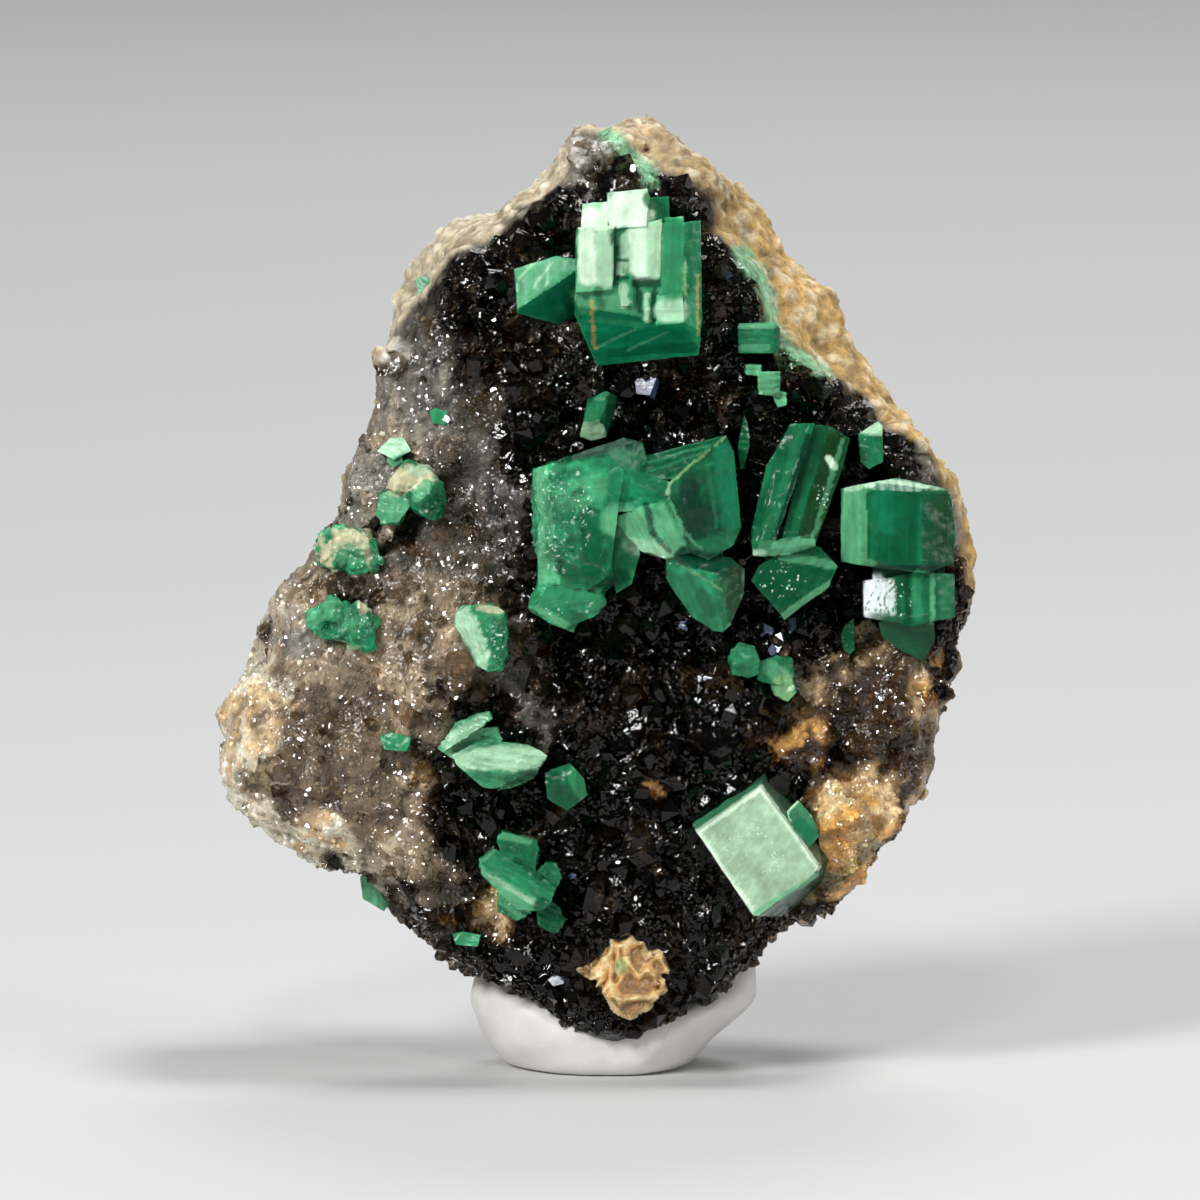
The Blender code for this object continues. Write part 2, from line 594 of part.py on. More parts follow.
def barrel_stack():
    """The short fat barrel at the right edge, the striped block under it and the dark wedge at its foot."""
    return [
        block(
            [
                (7.85, 19.9), (8.5, 20.02), (9.6, 20.25), (10.2, 20.15), (11.35, 19.85), (11.55, 19.5),
                (11.66, 18.5), (11.6, 17.4), (10.4, 16.95), (8.9, 17.25), (7.85, 17.36),
            ],
            2.5,
            turn=2,
            facets=[
                ((8.68, 20.2), (8.68, 17.0), 46),
                ((10.45, 16.9), (10.45, 20.3), 26),
                ((11.4, 19.72), (8.9, 19.95), 40),
                ((8.9, 17.45), (10.5, 17.18), 38),
            ],
            sink=2.6,
        ),
        block(
            [(8.6, 17.2), (10.4, 17.1), (11.63, 17.3), (11.64, 15.6), (10.2, 15.3), (8.6, 15.6)],
            2.15,
            facets=[((9.8, 17.2), (9.8, 15.2), 22), ((11.02, 15.2), (11.02, 17.3), 30)],
            sink=2.4,
        ),
        block(
            [
                (9.1, 15.42), (10.4, 15.5), (10.98, 15.4), (11.0, 14.8), (10.6, 14.12), (9.9, 14.45),
                (9.2, 14.95),
            ],
            1.3,
            turn=12,
            nod=-16,
            facets=[((10.45, 14.0), (10.75, 15.3), 30)],
            sink=2.0,
        ),
    ]


def pitted_bead():
    return [
        block(
            [(8.0, 15.3), (8.28, 15.55), (8.3, 14.5), (8.15, 14.3), (7.95, 14.5), (7.85, 15.0)],
            0.8,
            turn=-10,
        )
    ]


def twin_beads():
    return [
        block(
            [
                (4.45, 14.75), (4.95, 14.6), (5.2, 14.1), (5.1, 13.7), (4.7, 13.55), (4.2, 13.7),
                (4.1, 14.1), (4.2, 14.5),
            ],
            1.4,
            turn=-8,
            facets=[((4.65, 13.5), (4.75, 14.8), 24), ((4.0, 13.95), (5.3, 13.95), 30)],
        ),
        block(
            [(5.05, 14.1), (5.7, 14.34), (6.2, 14.2), (6.3, 13.6), (5.9, 13.3), (5.05, 13.5)],
            1.0,
            turn=10,
            facets=[((5.8, 13.3), (5.7, 14.4), 26)],
        ),
    ]


def square_plate():
    """A thick square plate on one corner, wider at its back, with a chip of the same kind beside it."""
    return [
        block(
            [(3.05, 8.4), (5.18, 9.9), (7.08, 7.25), (6.95, 6.98), (5.12, 5.62), (4.92, 5.64)],
            1.7,
            turn=3,
            nod=2,
            flare=[15, 18, 12, 10, 0, 0],
        ),
        block([(6.05, 9.1), (6.42, 9.45), (6.85, 8.98), (7.15, 8.3), (6.8, 7.9), (6.2, 8.4)], 0.9, turn=14),
    ]


def hexagonal_prism():
    return [
        block(
            [
                (-2.03, 10.4), (-1.55, 10.62), (-1.2, 10.72), (-0.75, 10.2), (-0.62, 9.65), (-1.3, 9.13),
                (-1.95, 9.55),
            ],
            1.4,
            turn=-6,
            nod=4,
            facets=[((-1.25, 9.0), (-1.05, 10.8), 34), ((-2.1, 10.0), (-0.6, 9.55), 20)],
        )
    ]


def sheaf():
    """A fan of pale blades that lie across each other."""
    return [
        block(
            [
                (-5.1, 11.0), (-4.3, 11.42), (-3.3, 11.42), (-2.6, 11.32), (-1.95, 11.0), (-2.2, 10.55),
                (-3.2, 10.1), (-3.6, 9.88), (-4.1, 9.92), (-4.9, 10.6),
            ],
            1.7,
            nod=12,
            facets=[((-3.65, 9.8), (-2.9, 10.5), 40), ((-4.9, 10.62), (-3.2, 10.18), 24)],
        ),
        block([(-3.6, 9.8), (-3.2, 10.5), (-2.25, 10.55), (-2.4, 10.22), (-3.0, 9.95)], 0.9, nod=-20),
        block(
            [(-5.6, 11.2), (-5.0, 12.1), (-3.9, 12.43), (-3.72, 12.1), (-4.6, 11.6), (-5.3, 11.05)],
            1.2,
            turn=-14,
            nod=14,
        ),
        block([(-5.55, 11.15), (-4.6, 11.8), (-3.6, 11.95), (-3.45, 11.5), (-3.8, 11.1), (-5.0, 10.8)], 0.85),
    ]


def crusted_block():
    return [
        block(
            [
                (-4.98, 15.72), (-4.74, 15.98), (-3.6, 15.95), (-3.3, 15.6), (-3.3, 14.3), (-3.5, 13.88),
                (-3.85, 13.75), (-4.3, 13.98), (-4.95, 15.2),
            ],
            1.6,
            turn=8,
            facets=[
                ((-4.6, 16.1), (-4.02, 13.9), 40),
                ((-3.6, 13.7), (-3.5, 16.0), 26),
                ((-4.5, 14.25), (-3.2, 14.15), 36),
            ],
        )
    ]


def rough_bead_lower():
    return [
        block(
            [
                (-9.98, 15.6), (-9.7, 16.02), (-9.2, 16.18), (-8.6, 16.05), (-8.5, 14.7), (-9.3, 14.9),
                (-9.88, 15.25),
            ],
            1.1,
            turn=-12,
            nod=6,
            facets=[((-9.9, 15.3), (-8.4, 15.2), 30)],
        ),
        block(
            [
                (-8.9, 16.0), (-8.05, 15.98), (-7.66, 15.5), (-7.66, 15.0), (-7.9, 14.58), (-8.6, 14.6),
                (-9.0, 15.0),
            ],
            1.15,
            turn=10,
            facets=[((-7.95, 14.5), (-7.95, 16.0), 34)],
        ),
    ]


def rough_bead_upper():
    return [
        block(
            [
                (-9.75, 17.8), (-9.55, 18.3), (-9.0, 18.6), (-8.2, 18.58), (-7.68, 18.1), (-7.48, 17.6),
                (-7.62, 17.22), (-8.3, 17.02), (-9.2, 17.05), (-9.65, 17.4),
            ],
            1.2,
            turn=-10,
            facets=[
                ((-9.8, 17.55), (-7.4, 17.5), 36),
                ((-7.4, 18.05), (-9.8, 18.1), 34),
                ((-9.2, 18.7), (-9.25, 17.0), 38),
                ((-7.95, 17.0), (-7.95, 18.7), 30),
            ],
            sink=1.0,
        )
    ]


def left_flakes():
    return [
        block(
            [(-7.62, 21.15), (-7.2, 21.6), (-6.8, 21.62), (-6.5, 21.15), (-7.1, 20.85)],
            0.8,
            turn=-14,
            nod=16,
        ),
        block([(-7.3, 21.2), (-6.85, 21.1), (-6.8, 20.8), (-7.1, 20.6), (-7.32, 20.78)], 0.6),
    ]


def left_blocks():
    return [
        block(
            [
                (-6.75, 19.75), (-6.2, 20.15), (-5.75, 20.42), (-5.42, 20.1), (-5.3, 19.4), (-5.5, 18.9),
                (-5.9, 18.86), (-6.45, 19.2),
            ],
            1.35,
            turn=4,
            nod=-4,
            facets=[
                ((-5.95, 19.5), (-6.75, 19.72), 34),
                ((-5.95, 18.8), (-5.78, 20.5), 34),
                ((-5.75, 20.5), (-6.2, 19.6), 20),
            ],
        ),
        block(
            [
                (-7.6, 19.72), (-7.0, 19.86), (-6.6, 19.75), (-6.55, 19.3), (-6.95, 18.72), (-7.5, 18.75),
                (-7.68, 19.1),
            ],
            1.0,
            turn=-12,
            nod=8,
            facets=[((-7.3, 19.9), (-7.2, 18.6), 18)],
        ),
    ]


def stacked_plates():
    """Plates lying on each other like a fallen pile of tiles, with one dark crystal under them."""
    return [
        block(
            [
                (-4.22, 7.5), (-3.55, 8.0), (-2.3, 7.05), (-1.62, 6.68), (-1.85, 6.05), (-2.2, 5.75),
                (-2.95, 5.8), (-3.5, 6.3), (-4.15, 7.0),
            ],
            1.75,
            nod=10,
            turn=8,
            facets=[((-4.15, 7.3), (-2.25, 6.15), 36), ((-3.75, 6.75), (-2.2, 5.85), 50)],
        ),
        block(
            [(-3.65, 8.2), (-3.45, 8.45), (-2.3, 8.15), (-2.22, 7.8), (-2.4, 6.9), (-3.4, 7.4)],
            1.2,
            turn=12,
            nod=8,
        ),
        block(
            [(-2.5, 6.9), (-2.0, 7.4), (-1.66, 7.35), (-1.5, 6.9), (-1.72, 6.4), (-2.2, 6.4)],
            1.3,
            turn=18,
        ),
        block(
            [
                (-2.3, 5.5), (-2.3, 6.2), (-1.9, 6.2), (-1.55, 5.85), (-1.37, 5.4), (-1.7, 5.02),
                (-2.2, 5.22),
            ],
            1.2,
            turn=14,
        ),
        block([(-3.62, 6.5), (-2.9, 6.2), (-2.5, 5.7), (-3.0, 5.45), (-3.6, 5.75)], 1.0, turn=-8, nod=-10),
    ]


def edge_block():
    """A block that hangs over the rock's lower left edge."""
    return [
        block(
            [(-8.28, 6.75), (-8.1, 7.3), (-7.5, 7.2), (-7.35, 6.6), (-7.2, 6.1), (-7.5, 5.68), (-8.18, 6.1)],
            1.2,
            turn=-6,
            nod=-6,
            facets=[((-7.6, 5.6), (-7.7, 7.2), 24)],
            sink=0.9,
        )
    ]


def chip(across, up, width, height, stand, turn, nod):
    """One small crystal with a snipped corner."""
    half_width = width / 2
    half_height = height / 2
    return [
        block(
            [
                (across - half_width, up + 0.6 * half_height),
                (across - 0.3 * half_width, up + half_height),
                (across + half_width, up + 0.5 * half_height),
                (across + 0.8 * half_width, up - half_height),
                (across - 0.7 * half_width, up - 0.8 * half_height),
            ],
            stand,
            turn=turn,
            nod=nod,
            sink=0.8,
        )
    ]


def green_crystals():
    """Each crystal or cluster as its name, the planes of its blocks and its colour."""
    return [
        ("upper_cluster", upper_cluster(), PALE_GREEN),
        ("small_prism", small_prism(), GREEN),
        ("seam_block_upper", seam_block_upper(), GREEN),
        ("seam_block_lower", seam_block_lower(), PALE_GREEN),
        ("central_cluster", central_cluster(), GREEN),
        ("blade", blade(), DARK_GREEN),
        ("striated_pair", striated_pair(), DARK_GREEN),
        ("notched_block", notched_block(), GREEN),
        ("barrel_stack", barrel_stack(), GREEN),
        ("pitted_bead", pitted_bead(), GREEN),
        ("twin_beads", twin_beads(), GREEN),
        ("square_plate", square_plate(), PALE_GREEN),
        ("hexagonal_prism", hexagonal_prism(), GREEN),
        ("sheaf", sheaf(), PALE_GREEN),
        ("crusted_block", crusted_block(), GREEN),
        ("rough_bead_lower", rough_bead_lower(), GREEN),
        ("rough_bead_upper", rough_bead_upper(), PALE_GREEN),
        ("left_flakes", left_flakes(), PALE_GREEN),
        ("left_blocks", left_blocks(), GREEN),
        ("stacked_plates", stacked_plates(), GREEN),
        ("edge_block", edge_block(), GREEN),
        ("chip_bottom", chip(-4.68, 4.82, 0.95, 0.5, 0.7, -10, 10), GREEN),
        ("chip_left", chip(-7.05, 11.42, 1.05, 0.62, 0.6, -8, 8), GREEN),
        ("chip_upper_left", chip(-5.6, 22.3, 0.6, 0.6, 0.6, 6, 4), GREEN),
        ("flake_upper_left", chip(-6.1, 26.75, 0.6, 0.72, 0.6, -20, 10), PALE_GREEN),
    ]


def add_crystal(name, blocks, colour, parts, cutters, parent):
    """One crystal node from its blocks, and the cutters of the pocket that it sits in."""
    at = blocks[0][0][0]
    crystal = add_object(name, carve(blocks[0]), parts, parent, at, new_material(name, colour, 0.25))
    for number, planes in enumerate(blocks[1:], 2):
        grown_on = add_object(f"{name}_grown_{number}", carve(planes), cutters, parent, at)
        add_boolean(crystal, "UNION", as_cutter(grown_on))
    pocket = add_object(f"{name}_pocket", carve(blocks[0], GAP), cutters, parent, at)
    for number, planes in enumerate(blocks[1:], 2):
        more = add_object(f"{name}_pocket_{number}", carve(planes, GAP), cutters, parent, at)
        add_boolean(pocket, "UNION", as_cutter(more))
    return as_cutter(pocket)


def limonite_patch(near, far, collection, parent):
    """The lobed patch of limonite, an extruded outline that lies on the rock's foot."""
    curve = bpy.data.curves.new("limonite_patch", "CURVE")
    curve.dimensions = "2D"
    curve.fill_mode = "BOTH"
    curve.extrude = (far - near) / 2 * MM
    spline = curve.splines.new("POLY")
    spline.points.add(len(PATCH_OUTLINE) - 1)
    for point, (across, up) in zip(spline.points, PATCH_OUTLINE):
        point.co = (across * MM, up * MM, 0, 1)
    spline.use_cyclic_u = True
    drawn = bpy.data.objects.new("limonite_patch_drawn", curve)
    collection.objects.link(drawn)
    drawn.location = (0, (near + far) / 2 * MM, 0)
    drawn.rotation_euler = (math.pi / 2, 0, 0)
    bpy.context.view_layer.update()
    graph = bpy.context.evaluated_depsgraph_get()
    mesh = bpy.data.meshes.new_from_object(drawn.evaluated_get(graph))
    mesh.transform(drawn.matrix_world)
    bm = bmesh.new()
    bm.from_mesh(mesh)
    bmesh.ops.remove_doubles(bm, verts=bm.verts, dist=1e-6)
    bmesh.ops.recalc_face_normals(bm, faces=bm.faces)
    bm.to_mesh(mesh)
    bm.free()
    solid = bpy.data.objects.new("limonite_patch", mesh)
    solid.parent = parent
    collection.objects.link(solid)
    bpy.data.objects.remove(drawn)
    mesh.materials.clear()
    mesh.materials.append(new_material("limonite_patch", (0.75, 0.52, 0.28), 0.6))
    return solid


def settle(obj):
    """Applies the modifiers and drops the crumbs that a cut left loose, keeping the largest body."""
    graph = bpy.context.evaluated_depsgraph_get()
    mesh = bpy.data.meshes.new_from_object(obj.evaluated_get(graph))
    obj.modifiers.clear()
    obj.data = mesh
    bm = bmesh.new()
    bm.from_mesh(mesh)
    bmesh.ops.triangulate(bm, faces=bm.faces)
    unseen = set(bm.verts)
    bodies = []
    while unseen:
        body = {unseen.pop()}
        edge_of_body = set(body)
        while edge_of_body:
            vert = edge_of_body.pop()
            near = {edge.other_vert(vert) for edge in vert.link_edges} & unseen
            unseen -= near
            body |= near
            edge_of_body |= near
        bodies.append(body)
    largest = max(bodies, key=len)
    crumbs = [vert for body in bodies if body is not largest for vert in body]
    bmesh.ops.delete(bm, geom=crumbs, context="VERTS")
    bm.to_mesh(mesh)
    bm.free()


def add_matrix(pockets, kept_clear, parts, cutters, parent):
    """The rock with its druse, its larger quartz points and a pocket for each crystal."""
    bm = rock_mesh()
    roughen(bm)
    matrix = add_object("matrix", bm, parts, parent, material=new_material("matrix", (0.12, 0.09, 0.07), 0.5))
    for number, place in enumerate(QUARTZ + scattered_quartz(QUARTZ + kept_clear)):
        column = add_object(f"quartz_{number}", quartz_column(*place), cutters, parent)
        add_boolean(matrix, "UNION", as_cutter(column))
    for pocket in pockets:
        add_boolean(matrix, "DIFFERENCE", pocket)
    settle(matrix)
    return matrix


def putty_point(direction):
    """Where a point of the unit sphere goes on the putty, an outline that is round from front to back."""
    angle = math.atan2(direction.z, direction.x)
    flat = math.hypot(direction.x, direction.z)
    out = reach(PUTTY_OUTLINE, PUTTY_MIDDLE, angle) * flat
    across = PUTTY_MIDDLE[0] + out * math.cos(angle)
    up = PUTTY_MIDDLE[1] + out * math.sin(angle)
    dent = PUTTY_DENT * noise.noise(direction * 1.9 + Vector((0, 0, 4.2)))
    return Vector((across, PUTTY_DEPTH + PUTTY_HALF_DEPTH * direction.y, up)) * (1 + dent)


def add_putty(parts, cutters, rock_frame):
    """The lump of putty: flat where it stands, and pressed in where the rock's tip sits."""
    bm = bmesh.new()
    bmesh.ops.create_icosphere(bm, subdivisions=PUTTY_DETAIL, radius=1)
    for vert in bm.verts:
        vert.co = putty_point(vert.co.normalized()) + Vector((0, 0, -NEAR_EDGE))
    whole = bm.verts[:] + bm.edges[:] + bm.faces[:]
    cut = bmesh.ops.bisect_plane(bm, geom=whole, plane_co=(0, 0, 0), plane_no=(0, 0, -1), clear_outer=True)
    rim = [part for part in cut["geom_cut"] if isinstance(part, bmesh.types.BMEdge)]
    bmesh.ops.edgeloop_fill(bm, edges=rim)
    bmesh.ops.recalc_face_normals(bm, faces=bm.faces)
    putty = add_object("putty", bm, parts, material=new_material("putty", (0.86, 0.87, 0.88), 0.7))
    seat = add_object("putty_seat", rock_mesh(PUTTY_SEAT), cutters, rock_frame)
    add_boolean(putty, "DIFFERENCE", as_cutter(seat))
    settle(putty)
    return putty


def main():
    wipe_scene()
    parts = new_collection("torbernite")
    cutters = new_collection("torbernite_cutters")
    rock_frame = bpy.data.objects.new("rock_frame", None)
    parts.objects.link(rock_frame)
    rock_frame.rotation_euler = (-LEAN, 0, 0)
    rock_frame.location = Matrix.Rotation(-LEAN, 3, "X") @ Vector((0, ROCK_SET, -NEAR_EDGE)) * MM
    pockets = []
    kept_clear = []
    for name, blocks, colour in green_crystals():
        pockets.append(add_crystal(name, blocks, colour, parts, cutters, rock_frame))
        kept_clear += [(planes[0][0].x, planes[0][0].z, CRYSTAL_REACH) for planes in blocks]
    patch_middle = rock_face(*middle_of(PATCH_POCKET))
    limonite_patch(patch_middle - PATCH_PROUD, patch_middle + PATCH_SUNK, parts, rock_frame)
    around_patch = block(PATCH_POCKET, PATCH_PROUD, sink=PATCH_SUNK)
    patch_pocket = add_object("limonite_patch_pocket", carve(around_patch, GAP), cutters, rock_frame)
    pockets.append(as_cutter(patch_pocket))
    bpy.context.view_layer.update()
    add_matrix(pockets, kept_clear, parts, cutters, rock_frame)
    add_putty(parts, cutters, rock_frame)


main()
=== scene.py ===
import itertools
import math
import random

import bmesh
import bpy
import numpy as np
from mathutils import Matrix, Vector, noise
from mathutils.bvhtree import BVHTree


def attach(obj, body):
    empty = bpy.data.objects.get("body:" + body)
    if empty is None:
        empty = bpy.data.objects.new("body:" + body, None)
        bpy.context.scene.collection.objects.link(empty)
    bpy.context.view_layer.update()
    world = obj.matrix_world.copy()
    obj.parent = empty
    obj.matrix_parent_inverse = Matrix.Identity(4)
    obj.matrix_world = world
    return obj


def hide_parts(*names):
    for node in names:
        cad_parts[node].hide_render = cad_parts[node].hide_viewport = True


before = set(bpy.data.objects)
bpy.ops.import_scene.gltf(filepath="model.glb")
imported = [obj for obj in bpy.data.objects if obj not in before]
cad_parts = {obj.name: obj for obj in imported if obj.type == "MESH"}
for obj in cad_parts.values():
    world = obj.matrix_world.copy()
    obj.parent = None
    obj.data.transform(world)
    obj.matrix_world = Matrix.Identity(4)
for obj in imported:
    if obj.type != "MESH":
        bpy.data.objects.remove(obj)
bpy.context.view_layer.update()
print("frame loaded:", len(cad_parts), "solids")

mm = 0.001
weld = 0.004 * mm  # corners nearer than this are one
faceLean = math.radians(6)  # the face of the rock leans back by this much
faceZero = Vector((0, -2.0, -0.45))  # zero of the rock's own frame (across, depth, up), in mm
leanTurn = Matrix.Rotation(-faceLean, 3, "X")
leanRows = np.array(leanTurn)
crystalNames = [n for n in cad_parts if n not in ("matrix", "putty", "limonite_patch")]


# small helpers for meshes

def facePlaces(points):  # row frame in metres to the rock's own frame in mm
    return (points / mm) @ leanRows - np.array(faceZero)


def rowPlaces(points):  # and back again
    return ((points + np.array(faceZero)) @ leanRows.T) * mm


def selectOnly(piece):
    bpy.ops.object.select_all(action="DESELECT")
    piece.select_set(True)
    bpy.context.view_layer.objects.active = piece


def finishWith(piece, kind, **settings):  # adds a modifier and applies it
    selectOnly(piece)
    modifier = piece.modifiers.new(kind.lower(), kind)
    for key, value in settings.items():
        setattr(modifier, key, value)
    bpy.ops.object.modifier_apply(modifier=modifier.name)


def copyOfSolid(nodeName, pieceName):  # its own mesh, with the loose triangles merged
    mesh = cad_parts[nodeName].data.copy()
    mesh.materials.clear()
    piece = bpy.data.objects.new(pieceName, mesh)
    bpy.context.scene.collection.objects.link(piece)
    selectOnly(piece)
    bpy.ops.object.mode_set(mode="EDIT")
    bpy.ops.mesh.select_all(action="SELECT")
    bpy.ops.mesh.remove_doubles(threshold=weld)
    bpy.ops.object.mode_set(mode="OBJECT")
    return piece


def verticesOf(piece):
    flat = np.empty(len(piece.data.vertices) * 3)
    piece.data.vertices.foreach_get("co", flat)
    return flat.reshape(-1, 3)


def normalsOf(piece):
    flat = np.empty(len(piece.data.vertices) * 3)
    piece.data.vertex_normals.foreach_get("vector", flat)
    return flat.reshape(-1, 3)


def moveVertices(piece, points):
    piece.data.vertices.foreach_set("co", np.ascontiguousarray(points, np.float32).ravel())
    piece.data.update()


def edgesOf(piece):
    flat = np.empty(len(piece.data.edges) * 2, np.int32)
    piece.data.edges.foreach_get("vertices", flat)
    return flat.reshape(-1, 2)


def spread(edges, values, times):  # averages a value over neighbouring vertices
    values = np.array(values, float)
    ends = np.concatenate([edges, edges[:, ::-1]])
    count = np.bincount(ends[:, 0], minlength=len(values)).clip(1)
    for _ in range(times):
        values = (values + np.bincount(ends[:, 0], values[ends[:, 1]], len(values)) / count) / 2
    return values


def noiseAt(points, scale, shift=0.0):
    move = Vector((shift, shift * 0.7, shift * 1.3))
    return np.array([noise.noise(Vector(p) * scale + move) for p in points])


def fractalAt(points, scale, shift=0.0, octaves=4):
    move = Vector((shift, shift * 0.7, shift * 1.3))
    return np.array([noise.fractal(Vector(p) * scale + move, 0.7, 2.1, octaves) for p in points])


def cellsAt(points, scale, shift=0.0):  # distance to the nearest cell centre and the next one
    move = Vector((shift, shift * 0.7, shift * 1.3))
    return np.array([noise.voronoi(Vector(p) * scale + move)[0][:2] for p in points])


def step(low, high, value):
    share = ((value - low) / (high - low)).clip(0, 1)
    return share * share * (3 - 2 * share)


def fromSegment(x, y, start, end, least=0.0):  # distance to a straight line between two places of the face
    (ax, ay), (bx, by) = start, end
    lengthSquared = (bx - ax) ** 2 + (by - ay) ** 2 + least
    along = (((x - ax) * (bx - ax) + (y - ay) * (by - ay)) / lengthSquared).clip(0, 1)
    return np.hypot(x - ax - along * (bx - ax), y - ay - along * (by - ay))


def insideBy(outline, places):  # distance inside a closed outline across the face, negative outside
    corners = np.array(outline)
    x, y = places[:, 0], places[:, 1]
    best = np.full(len(places), 1e9)
    inside = np.zeros(len(places), bool)
    for (ax, ay), (bx, by) in zip(corners, np.roll(corners, -1, axis=0)):
        best = np.minimum(best, fromSegment(x, y, (ax, ay), (bx, by)))
        crosses = (ay > y) != (by > y)
        with np.errstate(divide="ignore", invalid="ignore"):
            inside ^= crosses & (x < (bx - ax) * (y - ay) / (by - ay) + ax)
    return np.where(inside, best, -best)


def nearLine(points, places):  # distance to a drawn line across the face
    best = np.full(len(places), 1e9)
    for start, end in zip(points, points[1:]):
        best = np.minimum(best, fromSegment(places[:, 0], places[:, 1], start, end, 1e-9))
    return best


def ovalShare(places, oval, low, high):  # 1 inside an oval (across, up, half width, half height), 0 outside
    across, up, halfWidth, halfHeight = oval
    away = np.hypot((places[:, 0] - across) / halfWidth, (places[:, 2] - up) / halfHeight)
    return 1 - step(low, high, away)


def blend(made, tint, share):  # lays a colour over another by each place's share
    share = share[:, None]
    return made * (1 - share) + tint * share


def paint(piece, values, name="tint"):
    layer = piece.data.color_attributes.new(name, "FLOAT_COLOR", "POINT")
    layer.data.foreach_set("color", np.c_[values, np.ones(len(values))].astype(np.float32).ravel())


def smoothBy(piece, degrees):
    selectOnly(piece)
    bpy.ops.object.shade_smooth_by_angle(angle=math.radians(degrees))


# colours, as the light finds them

colours = {
    "smoky": (0.005, 0.004, 0.003),
    "brownSmoke": (0.05, 0.031, 0.014),
    "lavender": (0.15, 0.135, 0.115),
    "greyGlass": (0.3, 0.27, 0.22),
    "whiteGlass": (0.55, 0.52, 0.46),
    "brownGlass": (0.115, 0.074, 0.04),
    "leftTan": (0.4, 0.3, 0.195),
    "lobeGrey": (0.17, 0.12, 0.075),
    "lobeTan": (0.62, 0.42, 0.22),
    "lobeCream": (0.92, 0.84, 0.64),
    "rust": (0.05, 0.022, 0.007),
    "orangeResin": (0.8, 0.42, 0.12),
    "tanResin": (0.86, 0.6, 0.31),
    "oliveResin": (0.18, 0.14, 0.045),
    "rindGold": (0.58, 0.37, 0.13),
    "rindCream": (0.55, 0.46, 0.31),
    "rindShade": (0.18, 0.115, 0.055),
    "backRock": (0.3, 0.24, 0.165),
    "backDark": (0.11, 0.08, 0.052),
    "ochre": (0.48, 0.29, 0.08),
    "seamMint": (0.25, 0.52, 0.3),
    "mirrorBlue": (0.05, 0.07, 0.14),
    "limonite": (0.74, 0.44, 0.17),
    # the next two: painted highlight on the limonite's fold crests and painted shade in its troughs and holes
    "limoniteCrestHighlight": (0.88, 0.66, 0.38),
    "limoniteTroughShade": (0.17, 0.075, 0.02),
    "deepGreen": (0.001, 0.03, 0.014),
    "emerald": (0.002, 0.075, 0.028),
    "clearGreen": (0.004, 0.17, 0.075),
    "leafGreen": (0.011, 0.145, 0.06),
    "midGreen": (0.028, 0.235, 0.1),
    "mint": (0.11, 0.38, 0.195),
    "paleMint": (0.4, 0.64, 0.43),
    # painted highlight: near white mint, laid on the lit tops, faces and edges of crystals
    "highlightMint": (0.68, 0.85, 0.66),
    "olive": (0.01, 0.04, 0.01),
    # painted reflection: near white, for the lamp's reflection on a crystal face
    "reflectionSilver": (0.8, 0.88, 0.88),
    "plateFace": (0.34, 0.5, 0.34),
    "crust": (0.6, 0.54, 0.36),
    "yellowGreen": (0.22, 0.44, 0.19),
}
colours = {name: np.array(value) for name, value in colours.items()}

druseEdge = [
    (0.0, 32.0), (1.0, 30.9), (2.1, 30.6), (3.6, 29.7), (3.5, 28.7), (5.1, 27.0), (5.5, 25.4),
    (6.8, 24.1), (8.7, 22.9), (10.3, 21.3), (11.7, 19.6), (12.0, 18.6), (12.4, 15.0), (11.8, 10.0),
    (8.4, 5.6), (0.0, 0.2), (-6.4, 4.0), (-13.6, 9.4), (-13.2, 13.4), (-9.5, 19.5), (-8.1, 23.0),
    (-7.0, 25.2), (-6.0, 26.4), (-5.2, 27.6), (-3.8, 28.3), (-2.4, 29.4), (-1.3, 30.4), (-1.1, 31.9),
]
greenSeam = [
    [(0.0, 31.8), (0.6, 31.4), (1.3, 30.7), (1.5, 30.2)],
    [(4.5, 27.9), (5.1, 27.1), (5.5, 26.3), (5.6, 25.4), (6.0, 24.6), (6.6, 24.2), (7.3, 23.9)],
]

